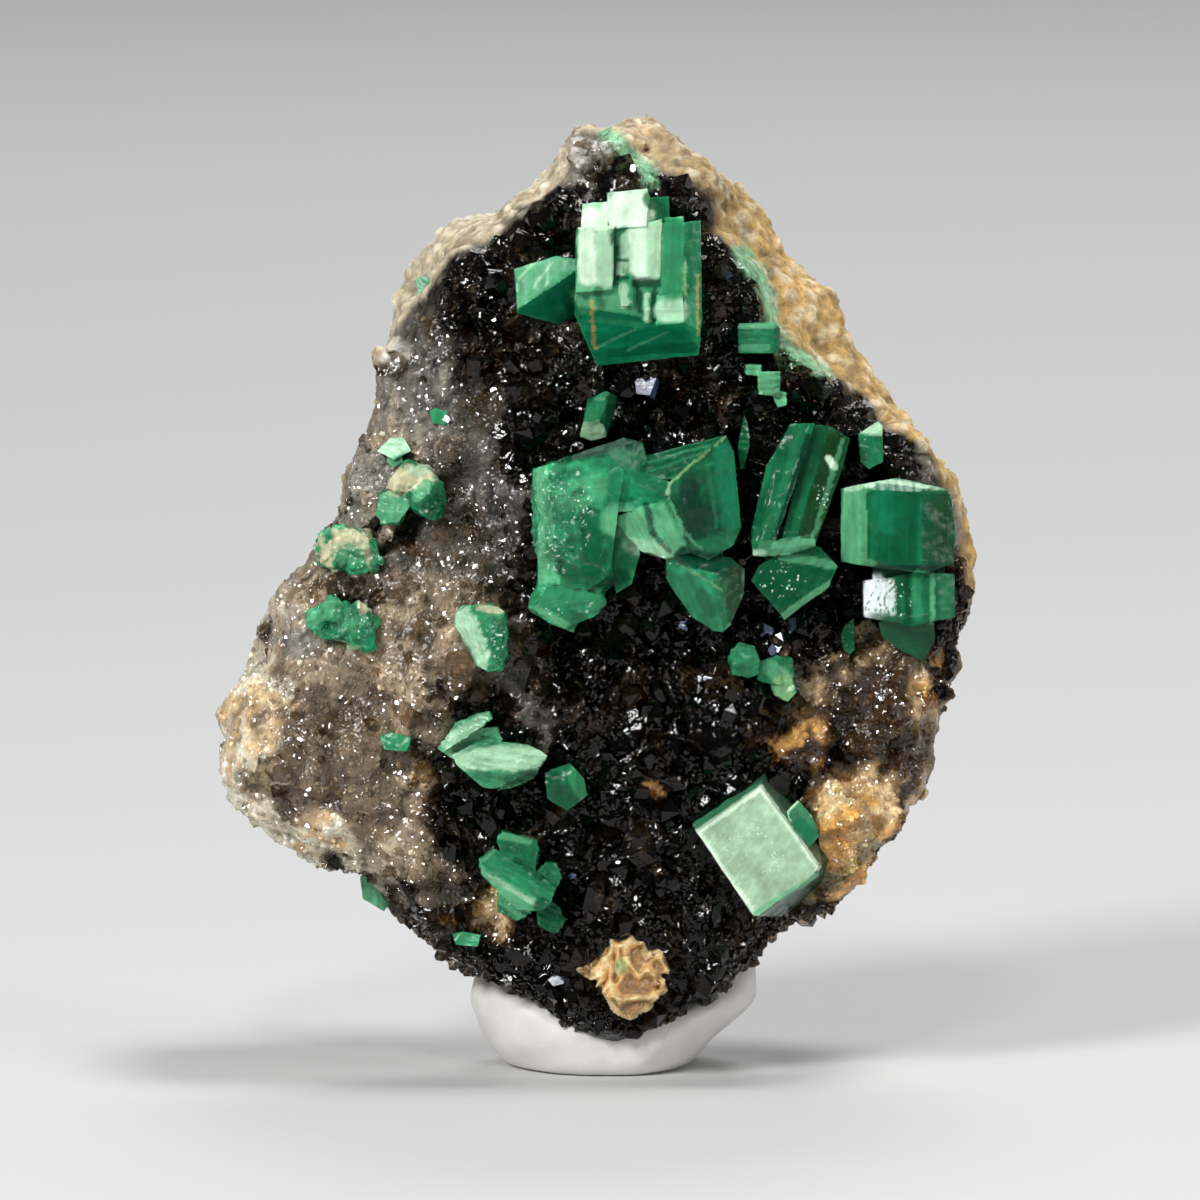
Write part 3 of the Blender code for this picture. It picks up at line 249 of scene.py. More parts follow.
# each patch of the druse: across, up, half width, half height, two colours that mix in it, strength
drusePatches = [
    (-3.4, 25.4, 3.4, 3.0, "brownSmoke", "smoky", 0.4),
    (-6.9, 24.6, 1.2, 2.4, "lavender", "brownSmoke", 0.9),
    (-4.6, 22.8, 1.6, 1.2, "brownSmoke", "lavender", 0.6),
    (-6.4, 22.2, 1.5, 1.5, "lavender", "greyGlass", 0.9),
    (-5.0, 20.6, 1.6, 1.4, "lavender", "brownSmoke", 0.9),
    (-8.1, 20.6, 1.2, 2.6, "greyGlass", "leftTan", 0.95),
    (-3.9, 18.9, 1.3, 2.6, "lavender", "brownSmoke", 0.85),
    (-5.6, 17.4, 1.8, 1.2, "lavender", "brownGlass", 0.85),
    (-5.8, 15.0, 2.6, 1.9, "leftTan", "brownGlass", 0.95),
    (-3.4, 14.2, 1.2, 1.0, "lavender", "brownSmoke", 0.7),
    (-2.6, 12.8, 0.9, 0.8, "lavender", "brownSmoke", 0.8),
    (-8.6, 17.0, 1.6, 1.2, "brownGlass", "lavender", 0.85),
    (-10.5, 15.8, 1.6, 1.7, "greyGlass", "leftTan", 0.95),
    (-8.6, 13.3, 2.6, 1.5, "lobeGrey", "leftTan", 0.9),
    (-12.1, 11.8, 1.6, 2.4, "lobeTan", "lobeCream", 1.0),
    (-12.3, 9.3, 1.6, 1.7, "lobeCream", "lobeTan", 1.0),
    (-9.3, 10.4, 2.3, 2.3, "lobeGrey", "brownGlass", 1.0),
    (-11.2, 12.3, 0.6, 0.8, "lobeGrey", "tanResin", 0.8),
    (-8.4, 9.4, 0.8, 0.6, "brownGlass", "brownSmoke", 0.7),
    (-9.6, 8.0, 2.8, 0.9, "lobeTan", "lobeCream", 0.95), (-7.0, 8.6, 1.5, 2.0, "lobeGrey", "leftTan", 0.85),
    (-6.6, 12.2, 1.2, 1.4, "brownGlass", "leftTan", 0.8),
    (-5.6, 6.9, 1.0, 1.0, "brownGlass", "leftTan", 0.7), (-5.8, 10.0, 0.4, 0.7, "ochre", "tanResin", 0.8),
    (-3.9, 5.8, 1.0, 0.7, "ochre", "tanResin", 0.85), (9.4, 12.9, 2.2, 2.4, "rust", "brownSmoke", 0.95),
    (9.2, 14.6, 1.6, 0.8, "tanResin", "rust", 0.5), (7.2, 13.6, 1.1, 1.2, "tanResin", "rust", 0.45),
    (10.9, 12.9, 0.6, 1.2, "tanResin", "orangeResin", 0.65),
    (6.3, 11.3, 1.1, 0.9, "orangeResin", "rust", 0.85),
    (8.3, 8.9, 1.3, 1.5, "tanResin", "orangeResin", 1.0), (9.9, 10.0, 0.9, 1.5, "tanResin", "rust", 0.9),
    (8.3, 6.8, 1.5, 1.1, "oliveResin", "orangeResin", 0.9),
    (10.8, 11.0, 0.6, 1.2, "oliveResin", "brownGlass", 0.8),
    (1.1, 9.7, 0.45, 0.3, "orangeResin", "rust", 0.85), (1.9, 7.5, 0.4, 0.3, "ochre", "rust", 0.5),
    (10.9, 20.8, 0.9, 1.2, "brownGlass", "greyGlass", 0.6),
    (11.9, 18.4, 0.5, 1.4, "greyGlass", "brownGlass", 0.7),
    (-0.7, 31.0, 0.9, 0.9, "whiteGlass", "greyGlass", 1.0),
    (-7.5, 24.2, 0.5, 0.5, "whiteGlass", "greyGlass", 1.0),
]


def stoneColours(places, facing):  # colour, how wet and how smoky the rock is at places of its own frame
    warp = np.c_[noiseAt(places, 0.6, 3.0), noiseAt(places, 0.6, 9.0)] * 1.1
    flat = places[:, [0, 2]] + warp
    mixing = step(-0.22, 0.22, noiseAt(places, 0.85, 50.0) + 0.5 * noiseAt(places, 2.1, 54.0))
    broken = noiseAt(places, 1.6, 21.0)
    made = np.tile(colours["smoky"], (len(places), 1))
    made = blend(made, colours["brownSmoke"], 0.7 * step(0.1, 0.45, noiseAt(places, 0.7, 90.0)))
    clear = np.ones(len(places))
    for across, up, halfWidth, halfHeight, name, other, strength in drusePatches:
        away = np.hypot((flat[:, 0] - across) / halfWidth, (flat[:, 1] - up) / halfHeight)
        share = strength * (1 - step(0.75, 1.35, away + 0.4 * broken))
        made = blend(made, blend(colours[other], colours[name], mixing), share)
        clear = clear * (1 - share)
    pits = step(0.25, 0.5, noiseAt(places, 1.1, 77.0))
    made = made * (1 - 0.6 * pits * (0.25 + 0.75 * clear))[:, None]
    rind = blend(colours["rindCream"], colours["rindGold"], step(-1.0, 5.0, places[:, 0]))
    shade = step(0.05, 0.55, noiseAt(places, 0.9, 40.0) + 0.5 * noiseAt(places, 3.0, 44.0))
    rind = blend(rind, colours["rindShade"], 0.6 * shade)
    rind = rind * (1 - 0.35 * step(28.0, 30.5, places[:, 2]) * step(1.2, 2.2, places[:, 0]))[:, None]
    past = 1 - step(-0.25, 0.1, insideBy(druseEdge, places[:, [0, 2]] + 0.3 * warp))
    made = blend(made, rind, past)
    back = colours["backRock"] * (0.8 + 0.6 * noiseAt(places, 0.5, 60.0))[:, None]
    darker = step(0.05, 0.5, noiseAt(places, 0.35, 70.0) + 0.4 * noiseAt(places, 1.4, 73.0))
    back = blend(back, colours["backDark"], 0.65 * darker)
    rim = step(-0.35, 0.0, facing) * step(-6.0, -9.0, places[:, 0]) * step(17.0, 15.5, places[:, 2])
    behind = step(-0.25, 0.35, facing) * (1 - past)
    made = blend(blend(made, colours["lobeCream"], rim), back, behind)
    for line in greenSeam:
        share = 1 - step(0.1, 0.42, nearLine(line, places[:, [0, 2]]) + 0.3 * broken)
        made = blend(made, colours["seamMint"], share * (facing < 0.2))
    wet = (1 - past) * (1 - behind)
    return made.clip(0.0015, 1), wet, clear * wet * (1 - rim)


# the rock, remeshed fine, with its rings closed round the crystals

rockWork = dict(
    voxel=0.171, ringReach=0.36, ringFade=0.62, sunk=0.05,
    rindRough=0.2, backRough=0.24, druseLump=0.42, smallLump=0.2, druseRough=0.06,
)


def joinedTree(nodeNames):
    points, faces, start = [], [], 0
    for name in nodeNames:
        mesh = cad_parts[name].data
        points += [Vector(v.co) / mm for v in mesh.vertices]
        faces += [[start + i for i in polygon.vertices] for polygon in mesh.polygons]
        start += len(mesh.vertices)
    return BVHTree.FromPolygons(points, faces)


crystalTree = joinedTree(crystalNames + ["limonite_patch"])


def nearest(tree, points, reach):  # nearest place, its normal and how far, for each point in metres
    found = [tree.find_nearest(Vector(p) / mm, reach) for p in points]
    distance = np.array([f[3] if f[0] is not None else 1e3 for f in found])
    place = np.array([f[0] if f[0] is not None else Vector(p) / mm for f, p in zip(found, points)]) * mm
    normal = np.array([f[1] if f[0] is not None else Vector((0, 0, 0)) for f in found])
    return place, normal, distance


rock = copyOfSolid("matrix", "rock")
finishWith(rock, "REMESH", mode="VOXEL", voxel_size=rockWork["voxel"] * mm, use_smooth_shade=True)
points = verticesOf(rock)
place, outward, distance = nearest(crystalTree, points, 1.0)
pull = (1 - step(rockWork["ringReach"], rockWork["ringFade"], distance))[:, None]
points = points * (1 - pull) + (place - outward * rockWork["sunk"] * mm) * pull
moveVertices(rock, points)

faceOf = facePlaces(points)
normals = normalsOf(rock)
facing = (normals @ leanRows)[:, 1]
inside = insideBy(druseEdge, faceOf[:, [0, 2]])
free = step(0.25, 0.7, distance) * step(1.2, 3.6, faceOf[:, 2])  # still near a crystal and in the putty
onRind = (1 - step(-0.3, 0.2, inside)) * (1 - step(0.0, 0.4, facing))
onBack = step(-0.2, 0.3, facing)
coarse = fractalAt(faceOf, 0.9, 2.0)
fine = fractalAt(faceOf, 2.6, 12.0)
cells = cellsAt(faceOf, 1.5, 5.0)
lumps = (0.5 - cells[:, 0]).clip(-0.4, 0.5)
lift = onRind * rockWork["rindRough"] * (0.5 * coarse + 0.4 * fine + 1.1 * lumps)
lift += onBack * rockWork["backRough"] * (0.8 * coarse + 0.45 * fine)
onDruse = (1 - onRind).clip(0, 1) * (1 - onBack)
bigCells = cellsAt(faceOf, 0.62, 31.0)[:, 0]
smallCells = cellsAt(faceOf, 1.35, 61.0)[:, 0]
lift += onDruse * rockWork["druseLump"] * (0.4 - bigCells) * 1.2
lift += onDruse * rockWork["smallLump"] * (0.4 - smallCells)
lift += onDruse * rockWork["druseRough"] * fine
points = points + normals * (lift * free * mm)[:, None]
moveVertices(rock, points)
tints, wet, smoky = stoneColours(facePlaces(points), facing)
tints = blend(tints, colours["lobeCream"], 0.5 * onRind * step(0.0, 0.3, lumps))
# painted shade: the rock made darker in the crevices between its lumps, less so on the pale druse
creviceShade = (step(0.45, 0.8, bigCells) * 0.5 + step(0.42, 0.75, smallCells) * 0.4).clip(0, 0.8)
creviceShade = creviceShade * onDruse * (0.45 + 0.55 * smoky)
tints = (tints * (1 - creviceShade)[:, None]).clip(0.0015, 1)
paint(rock, tints)
paint(rock, np.repeat(wet[:, None], 3, axis=1), "wet")
smoothBy(rock, 60)
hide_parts("matrix")
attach(rock, "root")
print("rock:", len(rock.data.polygons), "faces")


# quartz grains of the druse, a few shapes copied many times into one mesh

def quartzShape(sides, length, tip, squash):
    bpy.ops.object.select_all(action="DESELECT")
    middle = (0, 0, length / 2 - 0.6)
    bpy.ops.mesh.primitive_cylinder_add(vertices=sides, radius=1, depth=length, location=middle)
    shape = bpy.context.object
    bpy.ops.object.mode_set(mode="EDIT")
    bpy.ops.mesh.select_all(action="DESELECT")
    bpy.ops.mesh.select_mode(type="FACE")
    draft = bmesh.from_edit_mesh(shape.data)
    draft.faces.ensure_lookup_table()
    max(draft.faces, key=lambda face: face.calc_center_median().z).select = True
    bmesh.update_edit_mesh(shape.data)
    bpy.ops.mesh.poke(offset=tip)
    bpy.ops.mesh.select_all(action="SELECT")
    bpy.ops.transform.resize(value=(1, squash, 1))
    bpy.ops.mesh.quads_convert_to_tris()
    bpy.ops.object.mode_set(mode="OBJECT")
    bpy.ops.object.transform_apply(location=True, rotation=True, scale=True)
    corners = np.array([v.co for v in shape.data.vertices])
    triangles = []
    for polygon in shape.data.polygons:
        ring = list(polygon.vertices)
        triangles += [(ring[0], ring[i], ring[i + 1]) for i in range(1, len(ring) - 1)]
    bpy.data.objects.remove(shape)
    return corners, np.array(triangles)


quartzShapes = [
    quartzShape(6, 1.5, 0.7, 0.85),
    quartzShape(6, 1.2, 0.5, 1.0),
    quartzShape(5, 1.3, 0.8, 0.7),
    quartzShape(4, 1.1, 0.35, 0.8),
    quartzShape(7, 1.0, 0.03, 0.9),
]


def tiltedFrame(normal, turn):
    side = normal.orthogonal().normalized()
    side.rotate(Matrix.Rotation(turn, 3, normal))
    return Matrix((side, normal.cross(side), normal)).transposed()


def grainsPiece(name, grains, shapes):  # grains: place in mm, axis, turn, radius, length share, colour, seed
    allPoints, allFaces, allTints, start = [], [], [], 0
    for spot, axis, turn, radius, stretch, tint, pick in grains:
        corners, triangles = shapes[pick % len(shapes)]
        chance = np.random.default_rng(pick)
        wobble = 1 + 0.16 * chance.uniform(-1, 1, corners.shape)
        body = corners * wobble * np.array([radius, radius, radius * stretch])
        body[:, 2] += chance.uniform(-0.3, 0.3) * body[:, 0]
        allPoints.append(body @ np.array(tiltedFrame(axis, turn)).T + np.array(spot))
        allFaces.append(triangles + start)
        allTints.append(np.tile(tint, (len(corners), 1)))
        start += len(corners)
    mesh = bpy.data.meshes.new(name)
    points = np.concatenate(allPoints) * mm
    mesh.from_pydata(points.tolist(), [], np.concatenate(allFaces).tolist())
    piece = bpy.data.objects.new(name, mesh)
    bpy.context.scene.collection.objects.link(piece)
    paint(piece, np.concatenate(allTints).clip(0.001, 1))
    paint(piece, np.ones((start, 3)), "wet")
    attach(piece, "root")
    print(name + ":", len(grains), "grains,", len(mesh.polygons), "triangles")
    return piece


# grains of the dark druse, then the small ones that glitter on the lobe and the paler lumps
druseWork = dict(
    count=5200, tries=56000, smallest=0.09, largest=0.57, lean=0.75, clear=0.07, dark=1, glints=0.13, seed=5,
)
glitterWork = dict(
    count=5200, tries=26000, smallest=0.05, largest=0.13, lean=1.1, clear=0.05, dark=0, glints=0.34, seed=8,
)

mesh = rock.data
mesh.calc_loop_triangles()
corners = np.empty(len(mesh.loop_triangles) * 3, np.int32)
mesh.loop_triangles.foreach_get("vertices", corners)
corners = corners.reshape(-1, 3)
rockPoints = verticesOf(rock) / mm
edgeA = rockPoints[corners[:, 1]] - rockPoints[corners[:, 0]]
edgeB = rockPoints[corners[:, 2]] - rockPoints[corners[:, 0]]
areas = np.linalg.norm(np.cross(edgeA, edgeB), axis=1) / 2
centres = rockPoints[corners].mean(axis=1)
centresFace = facePlaces(centres * mm)
faceNormals = np.cross(edgeA, edgeB) / (2 * areas[:, None] + 1e-12)
facingOut = (faceNormals @ leanRows)[:, 1]
insideAt = insideBy(druseEdge, centresFace[:, [0, 2]])
weight = areas * step(-0.1, -0.45, facingOut) * step(0.15, 0.5, insideAt) * (centresFace[:, 2] > 1.7)
tintAt = tints[corners].mean(axis=1)
darkness = step(0.35, 0.8, smoky[corners].mean(axis=1))
slim = 0.45 + 0.55 * step(-0.3, -0.7, facingOut)  # smaller grains where the rock turns away
bare = step(0.0, -0.22, noiseAt(centresFace, 0.42, 33.0) + 0.4 * noiseAt(centresFace, 1.2, 35.0))


def facingAway(turn, nod):
    turn, nod = math.radians(turn), math.radians(nod)
    return leanTurn @ Vector((math.sin(turn) * math.cos(nod), -math.cos(turn) * math.cos(nod), math.sin(nod)))


glintTurn = (-17, 13)  # degrees right and up at which a face throws the main lamp at the viewer
glintAxis = facingAway(*glintTurn)
grainGap = 0.55  # how near two grains come, as a share of their radii together
neighbours = list(itertools.product((-1, 0, 1), repeat=3))  # a cell of the search and those round it
smokeTone = (0.36, 0.42, 0.49)  # how a stone colour becomes the colour of the clear quartz on it


def druseGrains(settings):
    chance = np.random.default_rng(settings["seed"])
    wanted = weight * (darkness * (1 - 0.85 * bare) + 0.002 if settings["dark"] else 1.05 - darkness)
    picks = chance.choice(len(corners), settings["tries"], p=wanted / wanted.sum())
    shares = chance.random((len(picks), 2))
    flip = shares.sum(axis=1) > 1
    shares[flip] = 1 - shares[flip]
    spots = rockPoints[corners[picks, 0]] + edgeA[picks] * shares[:, :1] + edgeB[picks] * shares[:, 1:]
    taken = {}
    grains = []
    cell = 2 * settings["largest"]
    for number, (pick, spot) in enumerate(zip(picks, spots)):
        radius = settings["smallest"] + (settings["largest"] - settings["smallest"]) * chance.random() ** 2.2
        radius *= slim[pick]
        i, j, k = np.floor(spot / cell).astype(int)
        near = [held for x, y, z in neighbours for held in taken.get((i + x, j + y, k + z), ())]
        if any(np.sum((other - spot) ** 2) < (grainGap * (radius + reach)) ** 2 for other, reach in near):
            continue
        hit = crystalTree.find_nearest(Vector(spot), 2.0)
        if hit[0] is not None and hit[3] < settings["clear"] + 0.35 * radius:
            continue
        taken.setdefault((i, j, k), []).append((spot, radius))
        normal = Vector(faceNormals[pick])
        tilt = Vector(chance.uniform(-1, 1, 3)) * settings["lean"] + Vector((-0.08, 0, 0.3))
        axis = (normal + tilt).normalized()
        if chance.random() < settings["glints"]:  # a flat face turned to the lamp
            axis = (glintAxis + Vector(chance.normal(0, 0.06, 3))).normalized()
            number = 5 * number + 4
        tint = (tintAt[pick] * math.exp(chance.normal(0, 0.4))).clip(0.002, 1)
        tint = tint ** np.array(smokeTone) if settings["dark"] else tint * 1.1
        spot = spot - np.array(axis) * 0.25 * radius
        turn = chance.uniform(0, math.tau)
        grains.append((spot, axis, turn, radius, chance.uniform(0.7, 1.2), tint, number))
        if len(grains) >= settings["count"]:
            break
    return grains


druse = grainsPiece("druse_grains", druseGrains(druseWork), quartzShapes)
glitter = grainsPiece("glitter_grains", druseGrains(glitterWork), quartzShapes)

# the larger quartz points: across, up, radius, then turned right and nodded up in degrees, colour
quartzPoints = dict(
    topKnob=(-0.72, 31.0, 0.7, -12, 12, "whiteGlass"),
    topKnobLower=(-0.45, 30.0, 0.62, -4, 6, "brownGlass"),
    darkGlass=(3.5, 12.3, 1.15, 14, 22, "smoky"),
    darkGlassTwo=(4.6, 12.9, 0.7, -22, 12, "brownSmoke"),
    rockKnob=(7.55, 18.6, 0.4, 0, 8, "brownGlass"),
    whiteKnob=(-7.3, 24.1, 0.5, -30, 12, "greyGlass"),
    purpleGrain=(1.6, 7.0, 0.45, 12, 6, "lavender"),
    whiteGrain=(-1.35, 11.35, 0.28, -17, 18, "whiteGlass"),
    beigeGrowth=(-2.75, 14.85, 0.56, 24, 0, "tanResin"),
    upperLeft=(-1.9, 28.9, 0.65, -24, 12, "brownSmoke"),
    seamEnd=(6.9, 23.2, 0.64, 22, 24, "smoky"),
    shineOne=(-5.3, 22.2, 0.3, -17, 13, "lavender"),
    shineTwo=(-4.9, 25.5, 0.35, -30, 12, "lavender"),
    shineThree=(-3.6, 18.2, 0.3, -17, 13, "lavender"),
    shineFour=(-8.1, 21.5, 0.3, -17, 13, "whiteGlass"),
)

rockTree = BVHTree.FromPolygons([Vector(p) for p in rockPoints], [tuple(c) for c in corners])


def onFace(across, up):  # where a line along the depth meets the rock, in mm of the row frame
    start = leanTurn @ (Vector((across, -30, up)) + faceZero)
    return rockTree.ray_cast(start, leanTurn @ Vector((0, 1, 0)))[0]


chance = random.Random(9)
bigGrains = []
for number, (across, up, radius, turn, nod, tint) in enumerate(quartzPoints.values()):
    spot = onFace(across, up)
    if spot is None:
        continue
    axis = facingAway(turn, nod)
    spot = spot - axis * (0.55 * radius)
    tone = colours[tint] ** np.array(smokeTone)
    bigGrains.append((spot, axis, chance.uniform(0, 6.28), radius, 1.15, tone, 1000 + 5 * number))
quartz = grainsPiece("quartz_points", bigGrains, quartzShapes[4:])

# flat faces that throw the light back: across, up, radius
mirrorFaces = dict(
    underCluster=(1.3, 23.5, 0.66),
    underTablet=(5.4, 15.05, 0.4),
    underTabletLow=(5.75, 14.75, 0.36),
    underTabletRight=(6.1, 15.2, 0.42),
    underTabletLeft=(5.05, 15.1, 0.24),
    underTabletTip=(5.6, 14.45, 0.2),
    besideSheaf=(-1.35, 11.35, 0.27),
    lowOnDruse=(-1.1, 6.9, 0.16),
    lowOnDruseTwo=(-0.6, 5.6, 0.2),
    upperLeft=(-1.7, 29.2, 0.2),
    upperRight=(4.0, 27.1, 0.28),
    topMiddle=(0.95, 30.6, 0.16),
    leftSlope=(-5.3, 22.2, 0.18),
    lowerEdge=(-1.6, 3.4, 0.3),
    middle=(2.6, 15.2, 0.28),
    middleLow=(1.4, 9.0, 0.2),
)
flatShape = quartzShape(5, 1.0, 0.01, 0.7)
mirrorGrains = []
for number, (across, up, radius) in enumerate(mirrorFaces.values()):
    spot = onFace(across, up)
    if spot is None:
        continue
    spot = spot - glintAxis * (0.24 * radius - 0.14)
    turn = chance.uniform(0, 6.28)
    mirrorGrains.append((spot, glintAxis, turn, radius, 0.6, colours["mirrorBlue"], 3000 + number))
mirrors = grainsPiece("mirror_faces", mirrorGrains, [flatShape])


# the green crystals

# colour, remesh cell in mm, how strong and how far apart the lamellae are and across which axis, how rough,
# mottled, striated, lumpy and ragged, and ovals that are rougher or carry painted sparkle
crystalWork = {
    "upper_cluster": dict(cell=0.07, lamella=0.008, pitch=0.34, axis=(1, 0, 0.06), rough=0.012, flow=0.3),
    "central_cluster": dict(
        cell=0.07, lamella=0.008, axis=(0.95, 0, 0.3), rough=0.014, mottle=0.75,
        roughSpots=[(-1.5, 18.9, 1.0, 1.9, 0.11), (-1.3, 16.2, 1.4, 0.8, 0.04), (1.3, 18.4, 0.9, 0.8, 0.03)],
        sparks=[
            (-1.9, 18.9, 0.6, 1.6), (-1.2, 19.5, 0.9, 0.7), (-1.9, 15.7, 0.5, 0.4), (2.0, 17.6, 0.4, 0.3),
        ],
    ),
    "striated_pair": dict(
        base="emerald", cell=0.07, lamella=0.012, pitch=0.24, axis=(0.95, 0, -0.3),
        sparks=[(5.9, 17.0, 0.9, 0.8), (7.3, 19.6, 0.4, 0.5)],
    ),
    "barrel_stack": dict(
        base="emerald", cell=0.07, lamella=0.006, pitch=0.3, axis=(1, 0, 0), rough=0.01, flow=0.6,
        sparks=[(9.6, 16.2, 0.75, 0.7)],
    ),
    "square_plate": dict(
        base="paleMint", cell=0.07, lamella=0.02, pitch=0.3, axis=(0, 1, 0), rough=0.012, flow=0.2,
        sparks=[(4.8, 7.6, 1.3, 1.3)],
    ),
    "sheaf": dict(base="mint", cell=0.06, lamella=0.05, pitch=0.25, axis=(0.3, 0, 1), rough=0.03),
    "stacked_plates": dict(
        base="leafGreen", cell=0.06, lamella=0.05, pitch=0.22, axis=(0.5, 0, 1), rough=0.03,
    ),
    "blade": dict(base="emerald"),
    "small_prism": dict(base="leafGreen"),
    "seam_block_upper": dict(base="leafGreen", axis=(0, 0, 1), lamella=0.03),
    "seam_block_lower": dict(base="mint", axis=(0, 0, 1), lamella=0.03),
    "notched_block": dict(base="leafGreen"),
    "pitted_bead": dict(base="emerald"),
    "twin_beads": dict(base="leafGreen", rough=0.02, lumps=0.16),
    "hexagonal_prism": dict(base="leafGreen"),
    "crusted_block": dict(rough=0.05, mottle=0.5, lumps=0.14, ragged=0.6, sparks=[(-3.6, 14.9, 0.5, 0.8)]),
    "rough_bead_upper": dict(rough=0.06, mottle=0.7, lumps=0.4, ragged=1.0, sparks=[(-8.2, 17.7, 0.9, 0.6)]),
    "rough_bead_lower": dict(rough=0.06, mottle=0.7, lumps=0.4, ragged=1.0, sparks=[(-8.6, 15.3, 0.9, 0.6)]),
    "left_flakes": dict(base="mint"),
    "left_blocks": dict(base="leafGreen", rough=0.05, lumps=0.14, ragged=0.5),
    "edge_block": dict(base="mint"),
    "flake_upper_left": dict(base="mint"),
}
crystalPlain = dict(
    base="midGreen", cell=0.05, lamella=0.012, pitch=0.25, axis=(0.3, 0, 1), rough=0.018, mottle=0.28,
    flow=1.0, lumps=0.0, ragged=0.2, roughSpots=[], sparks=[],
)
chipDepth = 0.26

# which way the striations run near a place: across, up, then the direction across and up
crystalFlow = {
    "upper_cluster": [(1.0, 27.0, 0.05, 1), (1.0, 24.7, 1, 0.1), (-2.0, 26.8, 0.1, 1)],
    "central_cluster": [
        (-1.2, 18.8, -0.1, 1), (-0.5, 21.1, 1, 0.25), (1.2, 18.4, -0.5, 1), (2.4, 21.0, 1, 0.35),
        (3.5, 19.5, -0.3, 1), (3.0, 16.4, -0.35, 1), (3.6, 17.6, 1, -0.3), (-1.4, 16.0, 1, 0.2),
    ],
    "striated_pair": [(6.5, 20.0, 0.32, 1), (6.2, 16.8, 0.7, 1)],
    "barrel_stack": [(9.8, 18.5, 0.02, 1), (10.0, 16.3, 0.03, 1), (10.2, 14.9, 1, 0.2)],
    "square_plate": [(5.0, 7.8, 0.7, 1)],
    "sheaf": [(-3.4, 10.8, 1, -0.12), (-4.6, 11.9, 1, 0.4)],
    "stacked_plates": [(-2.8, 7.0, 1, -0.6), (-2.8, 8.0, 1, -0.1)],
    "crusted_block": [(-4.1, 14.8, -0.4, 1)],
    "seam_block_upper": [(5.1, 24.9, 1, 0)],
    "seam_block_lower": [(5.5, 23.4, 1, 0)],
}

